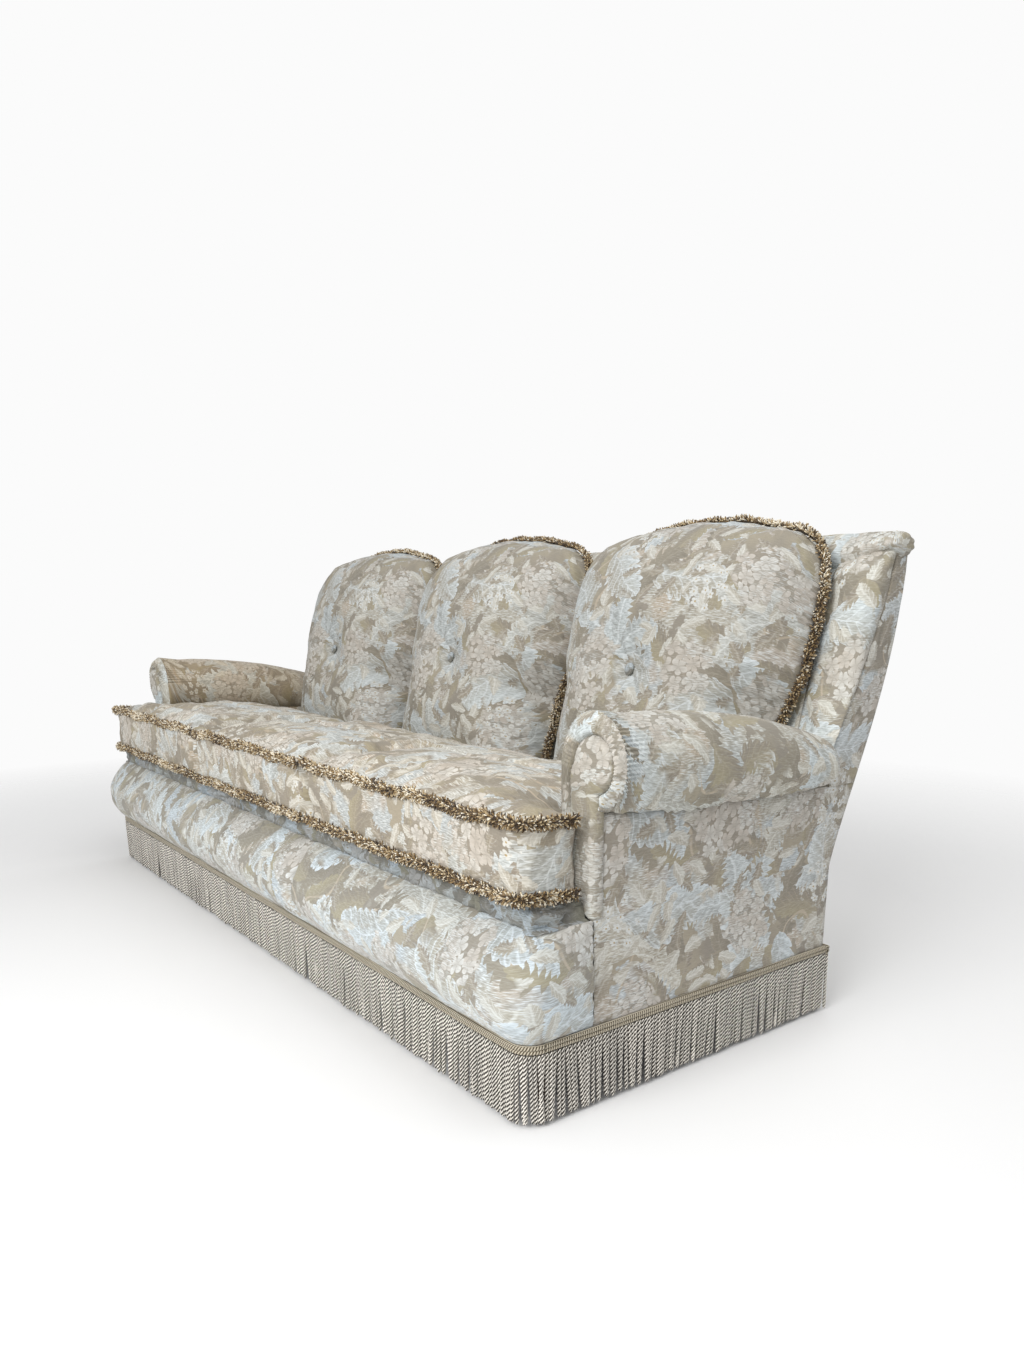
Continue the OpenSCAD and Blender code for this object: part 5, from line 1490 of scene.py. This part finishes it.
def pillow_chart(pitch):
    """Cloth of a back cushion, unrolled from its button outwards, so that the
    pattern sits in the same place on all three."""
    def chart(p, n):
        x, w, v = to_slope(p, pitch).T
        share = outline_share(x, v)
        spread = np.interp(share, SHARES, UNROLLED) / np.maximum(share, 1e-3)
        spread = np.where(w > 0, spread, 1)
        return columns(x * spread + np.where(w > 0, 0, 2000) + 5200, (v - BUTTON_V) * spread + 900)
    return chart


def pillow_seams(pitch):
    """Sewn points of a back cushion: its edge seam, its tuft and its rear."""
    def test(p):
        x, w, v = to_slope(p, pitch).T
        share = outline_share(x, v)
        edge = (share > 0.975) & (abs(w) < 9)
        tuft = np.hypot(x, v - BUTTON_V) < 15
        return edge | (tuft & (w > 50)) | (w < -20)
    return test


def finish_pillow(obj, pitch, seed):
    """Folds round the tuft, puckers along the seam and soft dents."""
    subdivided(obj)
    q = to_slope(from_trim(coordinates(obj.data)), pitch)
    x, w, v = q.T
    share = outline_share(x, v)
    r = np.hypot(x, v - BUTTON_V)
    angle = np.arctan2(v - BUTTON_V, x)
    dents = 2.0 * ripple(q, 190, seed) + 0.9 * ripple(q, 58, seed + 1)
    rays = np.sin(angle * 8 + 1.3 * np.sin(angle * 3 + seed))
    dents += rays * 3.2 * np.exp(-((r - 40) / 30) ** 2)
    pucker = np.sin(angle * 330 / 5.6 + 2.5 * ripple(q, 80, seed + 2))
    dents += pucker * 1.6 * np.exp(-(1 - share) / 0.035)
    q[:, 1] += np.clip(w / 12, 0, 1) * (dents - 1.2)
    p = from_slope(q, pitch)
    p[:, 1] = np.minimum(p[:, 1], inside_y(p[:, 2]) - FREE)
    p[:, 2] = np.maximum(p[:, 2], deck_z(p[:, 1]) + FREE)
    put(obj.data, placed(p))
    set_cloth(obj, pillow_chart(pitch))


for side, place in PLACES:
    pitch = place * PILLOW_PITCH
    node = f"back_cushion_{side}"
    cover = sewn_cushion(f"back_{side}_cover", node, pillow_seams(pitch), 0.992, 131 + place)
    finish_pillow(cover, pitch, 137 + place)
    dress(cover, CUSHION, f"back_{side}", [node])


def button(name, pitch):
    """Covered button, a little oval, with the cloth drawn over its rim."""
    a = np.linspace(0, 2 * math.pi, 40, endpoint=False)
    rings = []
    for r, w in ((0.3, 7.6), (3, 7.9), (6, 7.4), (9, 6.0), (11, 4.2), (12, 2.6), (11.6, 1.2),
                 (9, 0.2), (0.3, 0)):
        wrinkled = r * (1 + 0.02 * np.sin(a * 11) * (r > 8))
        rings.append(from_slope(columns(wrinkled * np.cos(a), 140.6 + w,
                                        BUTTON_V + 1.06 * wrinkled * np.sin(a)), pitch))
    return loft(name, rings, origin=(0.45, 0.75))


# The buttons take the same darkened tapestry as the deck lip, whose darkness is painted shade
for side, place in PLACES:
    dress(button(f"button_{side}_cover", place * PILLOW_PITCH), DIM, f"back_{side}",
          [f"button_{side}"])

# Strands: brush fringe yarns and bullion cords


def strand_tree():
    """Places one strand on each root point, pointing its Z along aim, scaled
    by size and turned a little about itself, and keeps the backing."""
    tree, given, end = group(
        "strands on points", "GeometryNodeTree",
        [("Points", "NodeSocketGeometry", None), ("Strand", "NodeSocketObject", None),
         ("Material", "NodeSocketMaterial", None), ("Turn", FLOAT, 3.14),
         ("Seed", "NodeSocketInt", 1)],
        [("Result", "NodeSocketGeometry")])
    points, strand, surface, turn, seed = given
    root, aim, size = [
        add(tree, "GeometryNodeInputNamedAttribute", name, data_type=kind) for name, kind in
        (("root", "BOOLEAN"), ("aim", "FLOAT_VECTOR"), ("size", "FLOAT_VECTOR"))]
    info = add(tree, "GeometryNodeObjectInfo", strand)
    lie = add(tree, "FunctionNodeAlignRotationToVector", None, 1.0, aim, axis="Z")
    back = add(tree, MATH, turn, -1.0, operation="MULTIPLY")
    chance = add(tree, "FunctionNodeRandomValue", back, turn, None, seed, data_type="FLOAT")
    spin = add(tree, "FunctionNodeAxisAngleToRotation", (0.0, 0.0, 1.0), chance)
    turned = add(tree, "FunctionNodeRotateRotation", lie, spin, rotation_space="LOCAL")
    placing = add(tree, "GeometryNodeInstanceOnPoints", points, root, info.outputs["Geometry"],
                  None, None, turned, size)
    joined = add(tree, "GeometryNodeJoinGeometry")
    for source in (add(tree, "GeometryNodeRealizeInstances", placing),
                   add(tree, "GeometryNodeDeleteGeometry", points, root)):
        tree.links.new(source.outputs[0], joined.inputs[0])
    return ended(tree, end, add(tree, "GeometryNodeSetMaterial", joined, None, surface))


STRANDS = strand_tree()


def yarn():
    """One cut yarn, a unit long and a unit in radius, slightly bent."""
    rings = [(0, 0, 0.7), (0.22, 0.5, 1.0), (0.75, 1.0, 0.8)]
    points = [(r * math.cos(a) + shift, r * math.sin(a), z)
              for shift, z, r in rings for a in np.radians([90, 210, 330])]
    obj = mesh_object("yarn", points, tube_faces(3, 3) + [(6, 7, 8), (2, 1, 0)], [(0, 0)] * 30)
    tip = obj.data.attributes.new("tip", "FLOAT", "POINT")
    tip.data.foreach_set("value", [0.0] * 3 + [0.6] * 3 + [1.0] * 3)
    return obj


def hanging_cord():
    """One bullion cord, a unit long and a unit in radius: three plies laid
    round each other, with a closed round end."""
    sides = 6
    lay = 5.4
    cut = 0.108  # metres of its cloth from end to end
    rows = [*np.linspace(0, 0.985, 28), 1.0]
    points = []
    for z in rows:
        r = np.interp(z, [0, 0.1, 0.42, 0.75, 0.93, 0.985, 1], [0.8, 1, 0.94, 1, 1.06, 0.75, 0.2])
        for k in range(sides):
            a = 2 * math.pi * (k / sides + lay * z)
            ply = r * (1.16 if k % 2 else 0.8)
            points.append((ply * math.cos(a), ply * math.sin(a), z))
    corners = []
    for low, high in zip(rows[:-1], rows[1:]):
        for j in range(sides):
            corners += [(j / sides, low * cut), ((j + 1) / sides, low * cut),
                        ((j + 1) / sides, high * cut), (j / sides, high * cut)]
    end = (len(rows) - 1) * sides
    faces = tube_faces(len(rows), sides)
    faces += [tuple(range(sides - 1, -1, -1)), tuple(range(end, end + sides))]
    return mesh_object("hanging_cord", points, faces, corners + [(0, 0)] * (2 * sides))


YARN = yarn()
CORD = hanging_cord()


def strands(name, roots, aims, sizes, tints, strand, surface, seed, backing=None):
    """A mesh of strands on their backing, from roots in millimetres."""
    count = len(roots)
    faces = []
    points = placed(roots)
    if backing is not None:
        m, n = backing.shape[:2]
        points = np.concatenate([points, placed(backing.reshape(-1, 3))])
        faces = [(a, d, c, b) for a, b, c, d in tube_faces(m, n, count)]
        end = count + (m - 1) * n
        faces += [tuple(range(count, count + n)), tuple(range(end + n - 1, end - 1, -1))]
    obj = mesh_object(name, points, faces)
    extra = len(points) - count
    for title, kind, values in (
            ("root", "BOOLEAN", [True] * count + [False] * extra),
            ("aim", "FLOAT_VECTOR", np.concatenate([aims, np.zeros((extra, 3))])),
            ("size", "FLOAT_VECTOR", np.concatenate([sizes * MM, np.ones((extra, 3))])),
            # The backing gets a dark tint and a low tip value, which darken it as painted shade
            # inside the tangle
            ("tint", "FLOAT", np.concatenate([tints, np.full(extra, 0.15)])),
            ("tip", "FLOAT", np.full(len(points), 0.2))):
        made = obj.data.attributes.new(title, kind, "POINT")
        made.data.foreach_set("vector" if kind == "FLOAT_VECTOR" else "value", np.ravel(values))
    made = obj.modifiers.new("strands", "NODES")
    made.node_group = STRANDS
    sockets = {s.name: s.identifier for s in STRANDS.interface.items_tree}
    for title, value in (("Strand", strand), ("Material", surface), ("Turn", 3.14), ("Seed", seed)):
        made[sockets[title]] = value
    return applied(obj)


def along_path(path, outs, step):
    """Evenly spaced points along a path, with their directions along it and
    outwards, and how far along they lie."""
    lengths = run_lengths(path)
    spots = np.arange(step / 2, lengths[-1], step)
    way = between(spots + 2, lengths, path) - between(spots - 2, lengths, path)
    return between(spots, lengths, path), unit(way), unit(between(spots, lengths, outs)), spots


def brush(name, paths, body, node, seed, reach=11.5):
    """Brush fringe along seams. Each path comes with its outward directions: a thick tangle of
    short cut yarns over a sewn-in core, kept dark as painted shade inside the tangle, pale over
    some hand-widths and dark over others."""
    chance = np.random.default_rng(seed)
    for index, (path, outs) in enumerate(paths):
        points, way, out, spots = along_path(path, outs, 1.7)
        up = unit(np.cross(way, out))
        n = len(points)
        clump = ripple(columns(spots, 0, 90 * index), 55, seed)
        patches = ripple(columns(spots, 0, 90 * index), 190, seed + 5)
        roots, aims, sizes, tints = [], [], [], []
        for spoke in np.linspace(-1, 1, 7):
            fan = spoke * 1.4 + chance.normal(scale=0.36, size=n) + 0.22 * clump
            comb = 0.5 * ripple(columns(spots, 40 * spoke, 0), 24, seed + 7)
            comb += chance.normal(scale=0.5, size=n)
            aims.append(unit(out * np.cos(fan)[:, None] + up * np.sin(fan)[:, None]
                             + way * comb[:, None]))
            roots.append(points + way * chance.uniform(-0.9, 0.9, n)[:, None]
                         + up * (2.6 * spoke + chance.normal(scale=0.5, size=n))[:, None])
            length = reach * chance.uniform(0.6, 0.95, n) * (1 + 0.1 * clump)
            sizes.append(columns(1.35, 1.35, length))
            speckle = chance.normal(scale=0.4, size=n)
            tints.append(np.clip(0.46 + 0.17 * patches + 0.08 * clump + speckle, 0, 1))
        core = np.array([points + out * (4.2 * math.cos(a)) + up * (5.2 * math.sin(a))
                         for a in np.linspace(0, 2 * math.pi, 8, endpoint=False)])
        parts = [np.concatenate(part) for part in (roots, aims, sizes, tints)]
        obj = strands(f"{name}_{index}", *parts, YARN, PILE, seed + index,
                      core.transpose(1, 0, 2)[::3])
        dress(obj, PILE, body, [node])


def seam_height(x, y, above):
    """Height of a seat cushion's front seam, which lies above the deck."""
    return deck_z(y) + above + seam_wave(x) * (1 if above > 50 else 0.6)


def seat_path(above, s):
    """Seam of an end cushion along its front and round its ear."""
    bend = 16.5
    path = [(x, 9.0) for x in np.linspace(320, EAR_X - bend, 120)]
    outs = [(0, -1)] * 120
    for a in np.radians(np.linspace(-90, 0, 12))[1:]:
        path.append((EAR_X - bend + (bend + 1) * math.cos(a), 10 + bend + (bend + 1) * math.sin(a)))
        outs.append((math.cos(a), math.sin(a)))
    path += [(EAR_X + 1, y) for y in np.linspace(30, EAR_Y - 12, 18)]
    outs += [(1, 0)] * 18
    x, y = np.array(path).T
    out_x, out_y = np.array(outs).T
    return columns(x * s, y, seam_height(x * s, y, above)), columns(out_x * s, out_y, 0)


def mid_path(above):
    """Seam of the middle cushion along its front."""
    x = np.linspace(-298, 298, 150)
    return columns(x, 9.0, seam_height(x, 9.0, above)), np.tile((0.0, -1.0, 0.0), (150, 1))


brush("seat_mid_brush", [mid_path(above) for above in SEAMS], "seat_mid", "seat_brush_mid", 201)
for side, s in (("left", -1), ("right", 1)):
    brush(f"seat_{side}_brush", [seat_path(above, s) for above in SEAMS], f"seat_{side}",
          f"seat_brush_{side}", 211 + s)


def pillow_path(pitch):
    """Edge seam of a back cushion from the top of the arm, over its arch, down."""
    half = HALF_OUTLINE[5:]
    run = np.concatenate([half, half[-2::-1] * (-1, 1)])
    lengths = run_lengths(run)
    spots = np.linspace(0, lengths[-1], 260)
    flat = between(spots, lengths, run)
    for _ in range(3):
        flat[1:-1] = (flat[:-2] + 2 * flat[1:-1] + flat[2:]) / 4
    way = unit(np.gradient(flat, axis=0))
    side = columns(way[:, 1], -way[:, 0])
    flat = flat + side * (0.8 * np.sin(spots / 29) + 0.4 * np.sin(spots / 11.0))[:, None]
    depth = 2.0 * np.sin(spots / 33 + pitch) + 1.1 * np.sin(spots / 13.0)
    local = columns(flat[:, 0], depth, flat[:, 1])
    outs = from_slope(columns(side[:, 0], 0.12, side[:, 1]), pitch)
    return from_slope(local, pitch), outs - from_slope(np.zeros(3), pitch)


for side, place in PLACES:
    brush(f"back_{side}_brush", [pillow_path(place * PILLOW_PITCH)], f"back_{side}",
          f"back_brush_{side}", 231 + place, reach=13.5)


def fringe(name, path, outs, node, seed):
    """Bullion fringe along a path: two golden cords as its heading, a woven
    band behind them, and a row of hanging cords, a few of them astray."""
    chance = np.random.default_rng(seed)
    lengths = run_lengths(path)
    pitch = lengths[-1] / round(lengths[-1] / CORD_PITCH)
    points, way, out, spots = along_path(path, outs, pitch)
    n = len(points)
    roots = points - out * 3.4
    roots[:, 2] = CORD_TOP
    lean = 0.03 * np.sin(spots / 60) + chance.normal(scale=0.03, size=n)
    swing = chance.normal(scale=0.014, size=n)
    aims = unit(np.array([0, 0, -1.0]) + way * lean[:, None] + out * swing[:, None])
    sizes = columns(chance.uniform(3.0, 3.4, n), 3.2,
                    np.clip(CORD_LENGTH + chance.normal(scale=1.1, size=n), 108, 112.6))
    hanging = strands(name, roots, aims, sizes, chance.uniform(0, 1, n), CORD, BULLION, seed)
    dress(hanging, BULLION, "base", [node])
    spots = np.append(np.arange(0, lengths[-1], 4.5), lengths[-1])
    line = between(spots, lengths, path)
    out = unit(between(spots, lengths, outs))
    for k, height in ((1, 126.6), (2, 120.4)):
        ring = []
        for a in np.linspace(0, 2 * math.pi, 10, endpoint=False):
            edge = line - out * (3.9 - HEADING_R * math.cos(a))
            edge[:, 2] = height + HEADING_R * math.sin(a) + 0.5 * np.sin(spots / 47 + k)
            ring.append(edge)
        cord = loft(f"{name}_heading_{k}", np.array(ring).transpose(1, 0, 2))
        # The cord's own coordinates: turns round it, metres along it
        layer = cord.data.uv_layers["cloth"]
        along, around = field(layer.data, "uv", 2).T
        turns = around / (2 * math.pi * HEADING_R * MM)
        layer.data.foreach_set("uv", columns(turns, along).ravel())
        dress(cord, BRAID, "base", [node])
    offset, height = zip((-6.6, 131), (-4, 131.4), (-4, 112), (-6.6, 112))
    band = [section(p, q, offset, height) for p, q in zip(line, out)]
    dress(loft(f"{name}_band", band), BRAID, "base", [node])


def straight(start, end, out):
    """A straight run with its outward directions."""
    return np.linspace((*start, 0), (*end, 0), 20), [(*out, 0)] * 20


turn = np.array(corner_turn(14))
right, right_out = [np.column_stack([turn[:, k], np.zeros(14)]) for k in (0, 1)]
fringe("fringe_front_cords", [*right[::-1] * (-1, 1, 1), *right],
       [*right_out[::-1] * (-1, 1, 1), *right_out], "fringe_front", 301)
for side, run, seed in (
        ("right", straight((HALF_W, CORNER_R), (HALF_W, FRINGE_END), (1, 0)), 302),
        ("left", straight((-HALF_W, FRINGE_END), (-HALF_W, CORNER_R), (-1, 0)), 303),
        ("rear", straight((HALF_W, FRINGE_REAR), (-HALF_W, FRINGE_REAR), (0, 1)), 304)):
    fringe(f"fringe_{side}_cords", *run, f"fringe_{side}", seed)
for pattern in (YARN, CORD):
    bpy.data.objects.remove(pattern)

# Stage: pale floor, soft light and the camera of the photo


def floor():
    """Matt pale floor that fades out far from the sofa, so that it has no edge."""
    mesh = bpy.data.meshes.new("floor")
    r = 9.0
    mesh.from_pydata([(-r, -r, 0), (r, -r, 0), (r, r, 0), (-r, r, 0)], [], [(0, 1, 2, 3)])
    obj = bpy.data.objects.new("floor", mesh)
    bpy.context.scene.collection.objects.link(obj)
    mat, tree, surface = material("studio floor, matt white")
    surface.inputs["Base Color"].default_value = colour("#f7f7f7")
    surface.inputs["Roughness"].default_value = 0.9
    where = add(tree, "ShaderNodeTexCoord").outputs["Object"]
    away = add(tree, VEC, where, operation="LENGTH").outputs["Value"]
    fade = add(tree, RAMP, away, 1.3, 3.2, 0.0, 1.0)
    clear = add(tree, "ShaderNodeBsdfTransparent")
    both = add(tree, "ShaderNodeMixShader", fade, surface, clear)
    end = next(n for n in tree.nodes if n.bl_idname == "ShaderNodeOutputMaterial")
    tree.links.new(both.outputs[0], end.inputs[0])
    mesh.materials.append(mat)


def area_light(name, place, target, size, power):
    """A soft rectangular light at a place, aimed at its target. Metres and watts."""
    lamp = bpy.data.lights.new(name, "AREA")
    lamp.shape = "RECTANGLE"
    lamp.size, lamp.size_y = size
    lamp.energy = power
    obj = bpy.data.objects.new(name, lamp)
    obj.location = place
    obj.rotation_euler = (Vector(target) - Vector(place)).to_track_quat("-Z", "Y").to_euler()
    bpy.context.scene.collection.objects.link(obj)


def sky():
    """Even white surroundings: full white to the camera, softer as light."""
    world = bpy.data.worlds.new("studio")
    world.use_nodes = True
    tree = world.node_tree
    tree.nodes.clear()
    rays = add(tree, "ShaderNodeLightPath").outputs["Is Camera Ray"]
    strength = add(tree, RAMP, rays, 0.0, 1.0, 0.46, 0.965)
    light = add(tree, "ShaderNodeBackground", (1.0, 1.0, 1.0, 1.0), strength)
    add(tree, "ShaderNodeOutputWorld", light)
    bpy.context.scene.world = world


floor()
sky()
area_light("key", (1.5, -3.1, 2.3), (0.3, 0, 0.4), (2.4, 1.8), 100)
area_light("top", (1.3, 0.3, 3.4), (1.1, 0.2, 0), (2.2, 2.2), 28)
area_light("side_fill", (4.0, -1.2, 2.2), (0.3, 0, 0.4), (2.4, 2.0), 11)
area_light("rear_fill", (-1.6, 3.8, 2.0), (0, 0.3, 0.4), (2.4, 2.0), 22)

# As fitted to the photo
camera = bpy.data.cameras.new("camera")
camera.lens = 24.66
camera.sensor_width = 36
camera.shift_x = -0.0305
camera.shift_y = 0.1367
camera.clip_start = 0.05
camera.clip_end = 60
obj = bpy.data.objects.new("camera", camera)
obj.location = (1.9944, -1.1366, 0.7304)
obj.rotation_euler = (math.radians(74.621), 0, math.radians(51.41))
bpy.context.scene.collection.objects.link(obj)
bpy.context.scene.camera = obj
bpy.context.scene.view_settings.view_transform = "Standard"
